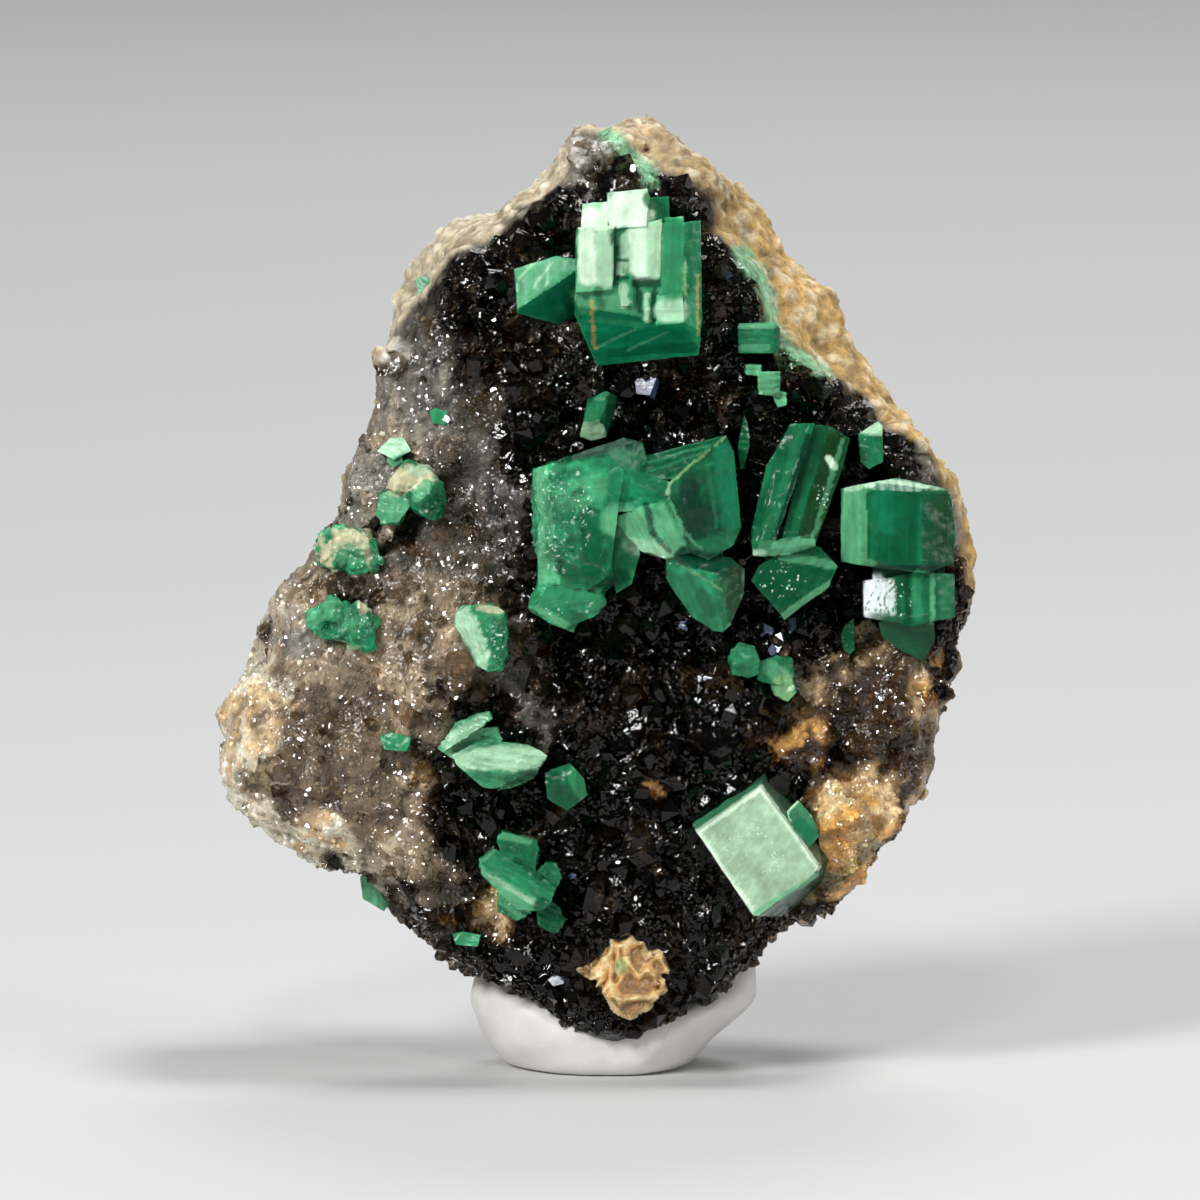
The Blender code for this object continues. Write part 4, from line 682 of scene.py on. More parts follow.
# whole facets, found at a place seen from the front: across, up, colour, strength
crystalFacets = {
    "upper_cluster": [
        (1.0, 24.9, "clearGreen", 0.9), (1.3, 26.7, "mint", 0.6), (-0.3, 27.6, "paleMint", 0.6),
        (1.3, 27.7, "paleMint", 0.55), (3.0, 27.0, "emerald", 0.6), (-2.1, 26.8, "mint", 0.7),
        # painted highlight: the highlightMint facet at the top of the cluster
        (-1.7, 26.1, "clearGreen", 0.9), (0.7, 29.1, "highlightMint", 0.6), (-0.3, 28.9, "paleMint", 0.8),
        (1.8, 29.2, "leafGreen", 0.9), (2.1, 25.8, "mint", 0.8), (0.7, 26.4, "midGreen", 0.6),
        (-0.8, 26.1, "emerald", 0.8), (2.3, 27.5, "midGreen", 0.5),
    ],
    "central_cluster": [
        (3.4, 19.4, "emerald", 0.95), (-0.8, 19.3, "leafGreen", 0.6), (2.9, 16.4, "clearGreen", 0.7),
        (-1.3, 16.0, "leafGreen", 0.6), (-0.5, 17.3, "emerald", 0.7), (-2.0, 18.5, "mint", 0.5),
        (1.1, 19.7, "clearGreen", 0.7), (0.4, 21.1, "emerald", 0.8), (2.0, 18.5, "mint", 0.5),
        (2.3, 20.9, "emerald", 0.9), (4.1, 16.4, "olive", 0.6), (1.1, 18.4, "mint", 0.75),
        (0.4, 17.5, "leafGreen", 0.7), (3.4, 17.3, "leafGreen", 0.8),
    ],
    "striated_pair": [
        (7.1, 20.2, "olive", 0.35), (6.3, 17.0, "emerald", 0.6), (6.0, 20.3, "leafGreen", 0.6),
        (5.3, 19.6, "leafGreen", 0.7), (6.0, 17.9, "mint", 0.5), (6.6, 16.1, "mint", 0.4),
    ],
    "barrel_stack": [
        (9.6, 18.6, "clearGreen", 0.45), (11.0, 18.5, "emerald", 0.6), (8.3, 18.6, "mint", 0.8),
        (10.4, 16.2, "leafGreen", 0.7), (9.3, 16.2, "leafGreen", 0.6), (11.4, 16.4, "leafGreen", 0.6),
        (10.5, 14.9, "emerald", 0.6), (9.8, 20.0, "mint", 0.8), (9.6, 15.0, "deepGreen", 0.6),
    ],
    "square_plate": [
        (5.1, 7.8, "plateFace", 1.0), (6.6, 9.3, "deepGreen", 0.8), (4.1, 9.7, "midGreen", 0.9),
        (6.3, 6.3, "deepGreen", 0.85), (6.6, 8.7, "leafGreen", 0.9), (7.5, 7.2, "deepGreen", 0.9),
        (6.0, 8.8, "deepGreen", 0.7),
    ],
    "crusted_block": [
        (-3.9, 15.1, "midGreen", 0.6), (-4.5, 15.1, "paleMint", 0.6), (-3.5, 14.8, "emerald", 0.8),
    ],
    "hexagonal_prism": [
        (-1.4, 9.6, "emerald", 0.7), (-1.4, 10.3, "leafGreen", 0.6), (-0.8, 9.9, "emerald", 0.9),
    ],
    "left_blocks": [
        (-7.2, 19.3, "mint", 0.6), (-5.9, 19.9, "mint", 0.7), (-5.7, 19.3, "emerald", 0.85),
        (-6.2, 19.3, "leafGreen", 0.7),
    ],
    "rough_bead_upper": [(-8.4, 17.5, "midGreen", 0.5), (-8.7, 18.1, "crust", 0.6)],
    "seam_block_upper": [(5.0, 24.9, "leafGreen", 0.6)],
    "sheaf": [
        (-3.5, 10.8, "mint", 0.7), (-4.7, 11.9, "mint", 0.4), (-4.2, 11.4, "leafGreen", 0.7),
        (-3.9, 10.2, "leafGreen", 0.7), (-2.9, 10.1, "leafGreen", 0.8),
    ],
    "small_prism": [
        (-0.3, 22.5, "emerald", 0.5), (-0.4, 21.8, "paleMint", 0.7), (0.0, 22.4, "emerald", 0.85),
    ],
    "stacked_plates": [
        (-2.9, 7.0, "midGreen", 0.5), (-2.9, 7.9, "leafGreen", 0.5), (-3.2, 6.4, "mint", 0.5),
        (-1.8, 5.6, "emerald", 0.9), (-3.2, 5.8, "leafGreen", 0.7), (-1.8, 7.0, "leafGreen", 0.8),
    ],
}

# blocks that close the gaps inside a cluster: how far behind its front, then the corners across and up
crystalFillers = {
    "central_cluster": [
        (0.15, [(-2.25, 18.0), (0.0, 18.2), (0.25, 17.0), (-0.3, 16.35), (-1.2, 16.6), (-2.3, 16.2)]),
        (0.55, [(0.0, 20.4), (1.1, 20.3), (1.1, 17.6), (0.85, 16.7), (0.35, 16.4), (0.0, 17.5)]),
        (0.3, [
            (-2.6, 15.9), (-1.9, 15.4), (-1.1, 15.1), (-0.8, 15.7), (-0.05, 16.2), (-0.4, 17.0),
            (-2.2, 16.8),
        ]),
        (0.8, [(2.2, 16.6), (3.9, 16.6), (3.9, 18.0), (2.2, 18.0)]),
    ],
    "barrel_stack": [
        (0.5, [(8.9, 16.7), (11.3, 16.7), (11.3, 17.7), (8.9, 17.7)]),
    ],
    "striated_pair": [
        (0.5, [(5.3, 17.5), (6.9, 17.5), (6.9, 18.6), (5.3, 18.6)]),
        (0.5, [(5.9, 18.0), (6.9, 18.0), (7.5, 21.4), (6.5, 21.4)]),
    ],
    "left_blocks": [
        (0.25, [(-7.3, 19.9), (-7.0, 20.5), (-6.6, 20.85), (-6.0, 20.7), (-5.5, 20.2), (-6.2, 19.6)]),
    ],
    "twin_beads": [
        (0.5, [(4.9, 13.9), (5.6, 13.6), (5.6, 14.0), (4.9, 14.3)]),
        (0.1, [(5.45, 13.6), (6.25, 13.55), (6.35, 13.1), (6.05, 12.75), (5.6, 12.95)]),
    ],
}

# soft brush strokes over the crystals: from across, up, to across, up, width, colour, strength
crystalStrokes = {
    "upper_cluster": [
        # painted highlight: the highlightMint strokes are the lit tops and faces of the columns
        (-0.7, 28.85, -0.1, 28.85, 0.42, "highlightMint", 0.9), (0.4, 29.15, 1.1, 29.2, 0.6, "highlightMint", 0.95),
        (1.5, 29.5, 2.1, 29.3, 0.3, "leafGreen", 0.9), (-0.65, 28.2, -0.6, 26.9, 0.32, "highlightMint", 0.8),
        (-0.1, 28.2, -0.05, 26.8, 0.28, "paleMint", 0.85),
        # painted shade: the thin deepGreen lines here are the grooves between the columns
        (0.27, 28.45, 0.3, 26.7, 0.09, "deepGreen", 0.85), (0.6, 28.2, 0.6, 27.6, 0.15, "paleMint", 0.8),
        (0.52, 27.3, 0.52, 27.05, 0.15, "paleMint", 0.8), (0.4, 27.46, 0.75, 27.46, 0.06, "emerald", 0.8),
        (0.4, 26.9, 0.75, 26.88, 0.08, "deepGreen", 0.8), (1.1, 28.4, 1.15, 27.2, 0.38, "highlightMint", 0.75),
        (1.6, 28.6, 1.6, 27.1, 0.28, "paleMint", 0.85), (2.25, 28.5, 2.2, 26.6, 0.42, "midGreen", 0.8),
        (2.95, 28.6, 2.95, 26.4, 0.2, "leafGreen", 0.85),
        (2.62, 27.4, 2.62, 26.3, 0.05, "yellowGreen", 0.7), (-0.8, 26.3, 0.2, 26.2, 0.4, "mint", 0.65),
        (-0.25, 26.5, -0.15, 25.9, 0.16, "emerald", 0.6), (1.0, 26.72, 1.7, 26.72, 0.18, "deepGreen", 0.85),
        (1.1, 26.6, 1.12, 25.8, 0.1, "deepGreen", 0.85), (1.62, 26.5, 1.6, 25.5, 0.09, "deepGreen", 0.8),
        (1.36, 26.3, 1.36, 25.5, 0.11, "paleMint", 0.85), (0.58, 26.6, 0.62, 26.0, 0.15, "paleMint", 0.85),
        (1.95, 25.8, 2.45, 25.8, 0.38, "paleMint", 0.85), (2.9, 26.2, 2.9, 24.8, 0.22, "midGreen", 0.7),
        (-0.3, 25.0, 2.5, 24.9, 0.42, "clearGreen", 0.9), (-0.2, 25.5, 1.2, 25.3, 0.1, "midGreen", 0.6),
        (0.2, 24.45, 2.9, 24.6, 0.16, "emerald", 0.7), (-0.3, 24.6, 1.0, 25.2, 0.045, "mint", 0.5),
        (0.7, 24.5, 2.1, 25.1, 0.045, "mint", 0.4), (-0.48, 26.1, -0.38, 24.6, 0.06, "ochre", 0.6),
        (3.06, 25.0, 3.06, 27.0, 0.045, "ochre", 0.5), (-2.9, 26.9, -2.3, 27.5, 0.05, "paleMint", 0.6),
        (-2.4, 26.6, -1.8, 27.4, 0.05, "paleMint", 0.5), (-2.8, 25.8, -1.7, 25.9, 0.2, "clearGreen", 0.8),
        (-1.3, 26.2, -1.0, 25.6, 0.2, "emerald", 0.8),
    ],
    "central_cluster": [
        (-2.2, 20.4, -2.1, 16.9, 0.14, "mint", 0.7), (-1.4, 17.2, -0.8, 16.9, 0.3, "deepGreen", 0.75),
        (-1.2, 20.2, -0.8, 17.2, 0.6, "leafGreen", 0.45), (-1.4, 19.6, -0.4, 19.9, 0.5, "mint", 0.35),
        (-0.5, 18.9, -0.45, 17.2, 0.4, "emerald", 0.85), (0.35, 20.6, 0.25, 19.4, 0.25, "leafGreen", 0.8),
        (-2.2, 21.0, 1.0, 21.45, 0.4, "deepGreen", 0.75), (0.3, 20.9, 1.2, 20.6, 0.35, "leafGreen", 0.8),
        (0.4, 18.8, 2.0, 18.3, 0.6, "mint", 0.8), (0.8, 18.0, 1.9, 17.8, 0.3, "paleMint", 0.5),
        (0.4, 17.6, 0.9, 17.2, 0.4, "leafGreen", 0.6), (1.35, 19.3, 1.55, 18.4, 0.13, "deepGreen", 0.8),
        (1.55, 18.4, 2.1, 17.8, 0.1, "deepGreen", 0.7), (1.9, 19.2, 2.3, 17.9, 0.16, "mint", 0.6),
        (1.4, 20.7, 3.8, 21.4, 0.45, "emerald", 0.6), (1.3, 20.75, 3.4, 21.3, 0.045, "midGreen", 0.6),
        (1.5, 20.5, 2.9, 20.95, 0.045, "midGreen", 0.5), (1.2, 20.1, 2.3, 20.0, 0.3, "leafGreen", 0.7),
        (2.75, 19.9, 3.05, 18.5, 0.36, "deepGreen", 0.85), (3.3, 19.0, 3.6, 18.4, 0.4, "deepGreen", 0.5),
        (3.9, 21.0, 4.2, 18.8, 0.4, "clearGreen", 0.7), (3.4, 20.6, 3.7, 18.6, 0.07, "leafGreen", 0.6),
        # painted highlight: the thin yellowGreen, paleMint and mint lines from (4.0, 21.6) down to (3.3,
        # 17.7) are a lit ridge
        (3.1, 17.9, 4.0, 18.2, 0.3, "leafGreen", 0.6), (4.0, 21.6, 2.9, 20.75, 0.04, "yellowGreen", 0.65),
        (2.9, 20.75, 2.15, 20.1, 0.045, "yellowGreen", 0.75),
        (2.15, 20.1, 2.05, 19.7, 0.06, "paleMint", 0.7), (2.05, 19.7, 2.5, 18.6, 0.045, "mint", 0.7),
        (2.5, 18.6, 3.3, 17.7, 0.05, "mint", 0.6), (2.4, 17.4, 3.85, 16.5, 0.04, "yellowGreen", 0.5),
        (2.6, 17.6, 4.3, 17.25, 0.35, "deepGreen", 0.9), (4.3, 17.0, 4.2, 15.6, 0.28, "olive", 0.85),
        (2.6, 16.6, 3.6, 15.6, 0.5, "leafGreen", 0.85), (3.2, 16.3, 3.5, 15.8, 0.25, "emerald", 0.7),
        (-2.4, 16.2, -0.4, 16.1, 0.3, "midGreen", 0.6), (-2.3, 15.9, -1.4, 15.35, 0.15, "mint", 0.7),
        (-0.4, 16.7, 0.5, 17.0, 0.3, "emerald", 0.7),
    ],
    "striated_pair": [
        (6.5, 21.9, 5.2, 18.2, 0.3, "leafGreen", 0.5), (6.1, 21.6, 5.0, 18.4, 0.18, "emerald", 0.6),
        (7.7, 21.5, 6.8, 18.4, 0.35, "olive", 0.8), (7.2, 21.7, 6.2, 18.2, 0.16, "leafGreen", 0.6),
        # painted highlight: the small highlightMint spot
        (6.75, 21.6, 5.7, 18.3, 0.12, "deepGreen", 0.95), (7.4, 20.9, 7.6, 20.6, 0.12, "highlightMint", 0.8),
        (7.9, 21.5, 6.9, 18.2, 0.08, "mint", 0.5), (4.3, 17.8, 5.2, 17.75, 0.12, "paleMint", 0.8),
        (5.6, 18.0, 6.9, 18.1, 0.12, "mint", 0.8), (5.0, 16.9, 7.2, 17.4, 0.6, "emerald", 0.75),
        (5.9, 17.6, 7.6, 17.3, 0.15, "mint", 0.5), (5.95, 15.65, 7.45, 16.7, 0.12, "mint", 0.7),
    ],
    "barrel_stack": [
        (9.8, 19.6, 9.8, 17.4, 1.0, "emerald", 0.75), (9.3, 19.5, 9.5, 18.8, 0.5, "clearGreen", 0.6),
        (8.1, 19.8, 8.1, 17.5, 0.38, "mint", 0.85), (8.05, 19.9, 8.9, 20.05, 0.12, "paleMint", 0.8),
        (8.9, 20.15, 11.3, 19.9, 0.08, "paleMint", 0.6), (8.95, 19.6, 8.95, 17.6, 0.1, "leafGreen", 0.7),
        (9.9, 19.6, 9.9, 17.6, 0.35, "emerald", 0.6), (10.5, 19.5, 10.45, 17.4, 0.07, "clearGreen", 0.6),
        (11.2, 19.4, 11.3, 17.6, 0.35, "olive", 0.6), (8.2, 17.5, 8.9, 17.4, 0.12, "mint", 0.6),
        # painted reflection: the silver strokes on the face below the barrels
        (8.95, 16.6, 8.95, 15.9, 0.45, "reflectionSilver", 0.95), (9.45, 16.7, 9.5, 15.8, 0.16, "reflectionSilver", 0.7),
        (9.75, 16.9, 9.75, 15.5, 0.06, "emerald", 0.9), (10.05, 17.0, 10.05, 15.4, 0.1, "deepGreen", 0.7),
        (10.4, 17.0, 10.4, 15.4, 0.2, "midGreen", 0.8), (10.9, 17.0, 10.9, 15.4, 0.08, "mint", 0.7),
        (11.3, 17.1, 11.3, 15.7, 0.2, "leafGreen", 0.8), (8.2, 17.25, 11.6, 17.2, 0.1, "deepGreen", 0.95),
        (9.2, 15.2, 10.8, 14.8, 0.6, "emerald", 0.8),
    ],
    "square_plate": [
        # painted highlight: the highlightMint lines along the plate's edges
        (3.05, 8.4, 5.18, 9.9, 0.1, "highlightMint", 0.8), (5.18, 9.9, 7.08, 7.25, 0.1, "highlightMint", 0.8),
        (3.05, 8.4, 4.95, 5.64, 0.12, "highlightMint", 0.8), (4.9, 5.6, 7.0, 7.0, 0.1, "mint", 0.7),
        (7.3, 8.4, 7.5, 7.2, 0.25, "deepGreen", 0.95), (5.6, 5.5, 7.4, 6.9, 0.18, "deepGreen", 0.9),
        (6.5, 8.6, 6.9, 8.2, 0.3, "leafGreen", 0.9),
    ],
    "crusted_block": [
        (-4.7, 15.6, -4.1, 14.2, 0.35, "paleMint", 0.85), (-3.5, 15.4, -3.5, 14.2, 0.3, "leafGreen", 0.9),
        (-4.2, 15.9, -3.6, 15.8, 0.15, "crust", 0.6),
    ],
    "rough_bead_upper": [
        (-9.4, 17.9, -9.3, 17.3, 0.32, "crust", 0.9), (-9.0, 18.3, -8.0, 18.35, 0.22, "crust", 0.85),
        (-8.7, 17.6, -7.9, 17.6, 0.4, "mint", 0.7), (-8.1, 17.9, -7.8, 17.3, 0.14, "crust", 0.7),
        (-7.7, 17.4, -7.6, 17.1, 0.2, "clearGreen", 0.9),
    ],
    "rough_bead_lower": [
        (-9.7, 15.6, -9.2, 15.9, 0.3, "mint", 0.7), (-9.3, 15.3, -9.0, 15.2, 0.25, "clearGreen", 0.8),
        (-8.2, 15.9, -7.8, 15.9, 0.16, "crust", 0.7), (-8.7, 15.5, -8.0, 15.2, 0.3, "mint", 0.5),
        (-8.1, 14.9, -7.8, 14.8, 0.25, "clearGreen", 0.8), (-9.0, 14.6, -8.4, 14.5, 0.16, "crust", 0.5),
    ],
    "left_blocks": [
        (-7.0, 20.1, -5.9, 20.5, 0.42, "crust", 0.85), (-6.4, 20.5, -5.8, 20.6, 0.2, "paleMint", 0.7),
        (-5.8, 19.4, -5.5, 19.8, 0.4, "emerald", 0.85), (-6.3, 19.6, -6.0, 20.0, 0.2, "mint", 0.8),
        (-7.3, 19.4, -6.9, 19.0, 0.35, "mint", 0.6),
    ],
    "left_flakes": [(-7.4, 21.3, -6.7, 21.3, 0.3, "paleMint", 0.8)],
    "sheaf": [
        (-4.9, 10.9, -2.3, 10.9, 0.45, "paleMint", 0.8), (-5.3, 11.4, -4.2, 12.1, 0.25, "paleMint", 0.5),
        (-5.0, 11.2, -3.8, 11.5, 0.18, "leafGreen", 0.7), (-3.2, 10.15, -2.5, 10.35, 0.22, "emerald", 0.7),
        (-4.6, 10.3, -3.8, 10.1, 0.2, "midGreen", 0.6),
    ],
    "small_prism": [
        (-0.75, 21.7, -0.3, 21.75, 0.25, "paleMint", 0.85), (-0.5, 22.3, 0.0, 22.9, 0.3, "midGreen", 0.6),
        (0.15, 21.8, 0.2, 22.9, 0.2, "deepGreen", 0.8),
    ],
    "notched_block": [
        (8.6, 22.0, 9.2, 21.9, 0.25, "paleMint", 0.9), (8.7, 21.3, 8.8, 20.7, 0.3, "leafGreen", 0.8),
    ],
    "hexagonal_prism": [
        (-1.9, 10.2, -1.4, 9.3, 0.3, "emerald", 0.8), (-1.1, 10.4, -0.8, 9.8, 0.25, "midGreen", 0.6),
    ],
    "stacked_plates": [
        (-4.2, 7.1, -2.3, 6.0, 0.1, "paleMint", 0.7), (-3.4, 7.6, -2.0, 6.8, 0.3, "leafGreen", 0.6),
        (-2.1, 5.9, -1.6, 5.4, 0.35, "emerald", 0.9), (-3.6, 8.3, -2.6, 8.1, 0.12, "mint", 0.7),
        (-4.2, 6.8, -2.8, 5.8, 0.32, "mint", 0.65), (-4.3, 7.4, -4.0, 6.8, 0.16, "mint", 0.7),
        (-3.0, 7.5, -2.2, 6.9, 0.1, "deepGreen", 0.6), (-4.35, 7.3, -3.6, 7.9, 0.06, "mint", 0.6),
    ],
    "twin_beads": [
        (4.3, 14.4, 4.8, 14.2, 0.3, "midGreen", 0.7), (5.5, 13.9, 5.9, 13.6, 0.3, "mint", 0.6),
        (5.9, 13.4, 5.95, 13.0, 0.35, "yellowGreen", 0.7),
    ],
    "seam_block_upper": [
        (4.5, 25.35, 5.6, 25.35, 0.12, "mint", 0.8), (4.6, 24.6, 5.4, 24.6, 0.12, "mint", 0.5),
    ],
}


def remeshSharp(piece, cell):  # an even mesh that keeps the crystal's edges
    size = max(piece.dimensions) / mm
    depth = math.ceil(math.log2(size / (0.98 * cell)))
    finishWith(
        piece, "REMESH", mode="SHARP", octree_depth=depth, scale=size / (cell * 2 ** depth), sharpness=1.0,
        use_remove_disconnected=False,
    )


def edgeShare(points, edges, normals):  # about 1 on outer edges, below 0 in inner corners
    ends = np.concatenate([edges, edges[:, ::-1]])
    count = np.bincount(ends[:, 0], minlength=len(points)).clip(1)
    sums = [np.bincount(ends[:, 0], points[ends[:, 1], i], len(points)) for i in range(3)]
    middle = np.stack([total / count for total in sums], axis=1)
    length = np.linalg.norm(points[ends[:, 0]] - points[ends[:, 1]], axis=1).mean()
    return -((middle - points) * normals).sum(axis=1) / length


def flowOf(name, places):  # how far across and along the striations each place is
    anchors = crystalFlow.get(name, [(0, 0, 0.1, 1)])
    gaps = np.stack([np.hypot(places[:, 0] - a[0], places[:, 2] - a[1]) for a in anchors])
    ways = np.array([[a[2], a[3]] for a in anchors], float)
    ways /= np.linalg.norm(ways, axis=1)[:, None]
    way = ways[gaps.argmin(axis=0)]
    across = places[:, 0] * way[:, 1] - places[:, 2] * way[:, 0]
    along = places[:, 0] * way[:, 0] + places[:, 2] * way[:, 1]
    return across, along


def facetsOf(name):  # the solid's flat facets, in the rock's own frame
    draft = bmesh.new()
    draft.from_mesh(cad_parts[name].data)
    bmesh.ops.remove_doubles(draft, verts=draft.verts, dist=weld)
    bmesh.ops.dissolve_limit(draft, angle_limit=math.radians(4), verts=draft.verts, edges=draft.edges)
    draft.verts.index_update()
    corners = facePlaces(np.array([v.co for v in draft.verts]))
    facets = [[v.index for v in face.verts] for face in draft.faces]
    draft.free()
    return BVHTree.FromPolygons([Vector(c) for c in corners], facets), len(facets)


def facetAt(tree, across, up):
    hit = tree.ray_cast(Vector((across, -30, up)), Vector((0, 1, 0)))
    return hit[2], hit[0]


def fillGaps(piece, name, tree):
    for behind, outline in crystalFillers.get(name, []):
        (x0, h0), (x1, h1) = np.min(outline, axis=0), np.max(outline, axis=0)
        spots = [facetAt(tree, x, h)[1] for x in np.linspace(x0, x1, 5) for h in np.linspace(h0, h1, 5)]
        front = float(np.median([spot.y for spot in spots if spot is not None])) + behind
        bpy.ops.object.select_all(action="DESELECT")
        bpy.ops.mesh.primitive_circle_add(vertices=len(outline), radius=1, fill_type="NGON")
        block = bpy.context.object
        moveVertices(block, rowPlaces(np.array([(x, front, h) for x, h in outline])))
        bpy.ops.object.mode_set(mode="EDIT")
        bpy.ops.mesh.select_all(action="SELECT")
        inward = leanTurn @ Vector((0, 1.6, 0)) * mm
        bpy.ops.mesh.extrude_region_move(TRANSFORM_OT_translate={"value": inward})
        bpy.ops.mesh.select_all(action="SELECT")
        bpy.ops.mesh.normals_make_consistent(inside=False)
        bpy.ops.object.mode_set(mode="OBJECT")
        finishWith(piece, "BOOLEAN", operation="UNION", object=block, solver="EXACT")
        bpy.data.objects.remove(block)


def growCrystal(name):
    work = {**crystalPlain, **crystalWork.get(name, {})}
    piece = copyOfSolid(name, name + "_grown")
    tree, facetCount = facetsOf(name)
    fillGaps(piece, name, tree)
    remeshSharp(piece, work["cell"])
    points = verticesOf(piece)
    edges = edgesOf(piece)
    normals = normalsOf(piece)
    places = facePlaces(points)
    facing = normals @ leanRows
    axis = np.array(Vector(work["axis"]).normalized())
    along = places @ axis
    side = 1 - np.abs(facing @ axis)
    rim = edgeShare(points, edges, normals)
    rimWide = spread(edges, rim.clip(0, 1), 2)
    facet = np.array([tree.find_nearest(Vector(place))[2] for place in places])
    wave = noiseAt(places, 0.8, 3.0)
    phase = np.sin((along + 0.15 * wave) * math.tau / work["pitch"])
    stair = np.sign(phase) * (0.4 + 0.6 * noiseAt(places * [1, 1, 0.3], 3.0, 8.0))
    rough = fractalAt(places, 3.5, 5.0, 3)
    broad = fractalAt(places, 1.1, 45.0, 3)
    chip = (fractalAt(places, 1.6, 15.0, 3) - 0.1).clip(0, 1)
    uneven = np.full(len(points), work["rough"])
    for *oval, amount in work["roughSpots"]:
        uneven += amount * ovalShare(places, oval, 0.7, 1.2)
    lift = work["lamella"] * stair * side + uneven * (rough + 1.6 * broad) - chipDepth * chip * rimWide
    if work["lumps"]:
        bigLumps = 0.45 - cellsAt(places, 1.7, 7.0)[:, 0]
        smallLumps = 0.45 - cellsAt(places, 3.6, 17.0)[:, 0]
        lift += work["lumps"] * bigLumps + 0.35 * work["lumps"] * smallLumps
    points = points + normals * (lift * mm)[:, None]
    moveVertices(piece, points)

    shades = np.random.default_rng(len(name)).uniform(0.78, 1.22, facetCount)
    made = np.tile(colours[work["base"]], (len(points), 1)) * shades[facet][:, None]
    for across, up, tint, strength in crystalFacets.get(name, []):
        made = blend(made, colours[tint], strength * (facet == facetAt(tree, across, up)[0]))
    mottle = fractalAt(places, 0.9, 25.0, 3)
    made = made * np.exp(work["mottle"] * (mottle + 0.6 * fractalAt(places, 3.2, 65.0, 3)))[:, None]
    flat = places[:, [0, 2]] + 0.05 * np.c_[rough, wave]
    front = step(0.35, 0.1, facing[:, 1])
    for *ends, width, tint, strength in crystalStrokes.get(name, []):
        away = nearLine([ends[:2], ends[2:]], flat) / width
        share = strength * (1 - step(0.75, 1.15, away + work["ragged"] * rough)) * front
        # painted reflection: the silver strokes, broken up by cracks
        if tint == "reflectionSilver":  # cracked into glints
            share = share * step(0.015, 0.06, np.abs(noiseAt(places * [1, 1, 0.7], 3.2, 2.0)))
        made = blend(made, colours[tint], share)
    # painted highlight: each crystal's outer edges made lighter
    made = blend(made, (made + 0.06) * 2.2, 0.4 * step(0.45, 0.8, rim) * (0.5 + 0.8 * mottle).clip(0, 1))
    paint(piece, made.clip(0.002, 1))
    across, lengthways = flowOf(name, places)
    spark = np.zeros(len(points))
    for oval in work["sparks"]:
        spark = np.maximum(spark, ovalShare(places, oval, 0.6, 1.15))
    paint(piece, np.repeat(spark[:, None], 3, axis=1), "spark")
    paint(piece, np.c_[across * 5.5, lengthways * 0.45, places[:, 1] * 3] * work["flow"], "flow")
    smoothBy(piece, 26)
    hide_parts(name)
    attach(piece, "root")
    return piece


crystals = [growCrystal(name) for name in crystalNames]
print("crystals:", len(crystals), "pieces,", sum(len(c.data.polygons) for c in crystals), "faces")


# the limonite patch and the putty

patchWork = dict(cell=0.06, fold=0.3, sunk=0.18, rough=0.03, hole=0.3)
patch = copyOfSolid("limonite_patch", "limonite_crust")
remeshSharp(patch, patchWork["cell"])
points = verticesOf(patch)
places = facePlaces(points)
bent = places + 0.35 * np.c_[noiseAt(places, 1.6, 4.0), noiseAt(places, 1.6, 6.0), noiseAt(places, 1.6, 8.0)]
folds = 1 - (2.6 * np.abs(noiseAt(bent * [1.5, 1, 0.9], 1.25, 3.0))).clip(0, 1)  # crests 1, troughs 0
holes = step(0.42, 0.6, noiseAt(places, 1.9, 33.0))
lift = patchWork["fold"] * folds - patchWork["sunk"] + patchWork["rough"] * fractalAt(places, 4.0, 2.0)
lift -= patchWork["hole"] * holes
moveVertices(patch, points + normalsOf(patch) * (lift * mm)[:, None])
# painted highlight on the fold crests, painted shade in the troughs and holes
tint = blend(colours["limonite"], colours["limoniteCrestHighlight"], step(0.45, 0.95, folds) * 0.6)
tint = blend(tint, colours["limoniteTroughShade"], (0.75 * step(0.35, 0.05, folds) + 0.5 * holes).clip(0, 0.9))
paint(patch, blend(tint, colours["yellowGreen"], 0.7 * ovalShare(places, (0.5, 3.9, 1.0, 1.4), 0.1, 0.3)))
paint(patch, np.full((len(points), 3), 0.75), "wet")
smoothBy(patch, 50)
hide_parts("limonite_patch")
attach(patch, "root")

puttyWork = dict(voxel=0.16, rounding=30, dent=0.16, smallDent=0.04, sunk=0.05)
putty = copyOfSolid("putty", "putty_lump")
bpy.ops.object.mode_set(mode="EDIT")
bpy.ops.mesh.select_all(action="SELECT")
bpy.ops.mesh.convex_hull()
bpy.ops.object.mode_set(mode="OBJECT")
finishWith(putty, "REMESH", mode="VOXEL", voxel_size=puttyWork["voxel"] * mm)
finishWith(putty, "SMOOTH", factor=0.5, iterations=puttyWork["rounding"])
points = verticesOf(putty)
places = points / mm
dents = puttyWork["dent"] * noiseAt(places, 0.45, 4.0) + puttyWork["smallDent"] * noiseAt(places, 1.3, 14.0)
lifted = step(0.1, 0.9, places[:, 2])  # none where it stands on the floor
moveVertices(putty, points + normalsOf(putty) * ((dents - puttyWork["sunk"]) * lifted * mm)[:, None])
smoothBy(putty, 60)
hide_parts("putty")
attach(putty, "root")
print("patch and putty:", len(patch.data.polygons), len(putty.data.polygons), "faces")


# finishes

def node(shader, kind, output, inputs, **settings):  # a new node fed by numbers or by other nodes
    tree = shader.id_data
    made = tree.nodes.new(kind)
    for key, value in settings.items():
        setattr(made, key, value)
    for key, value in inputs.items():
        feed(made.inputs[key], value)
    return made.outputs[output]


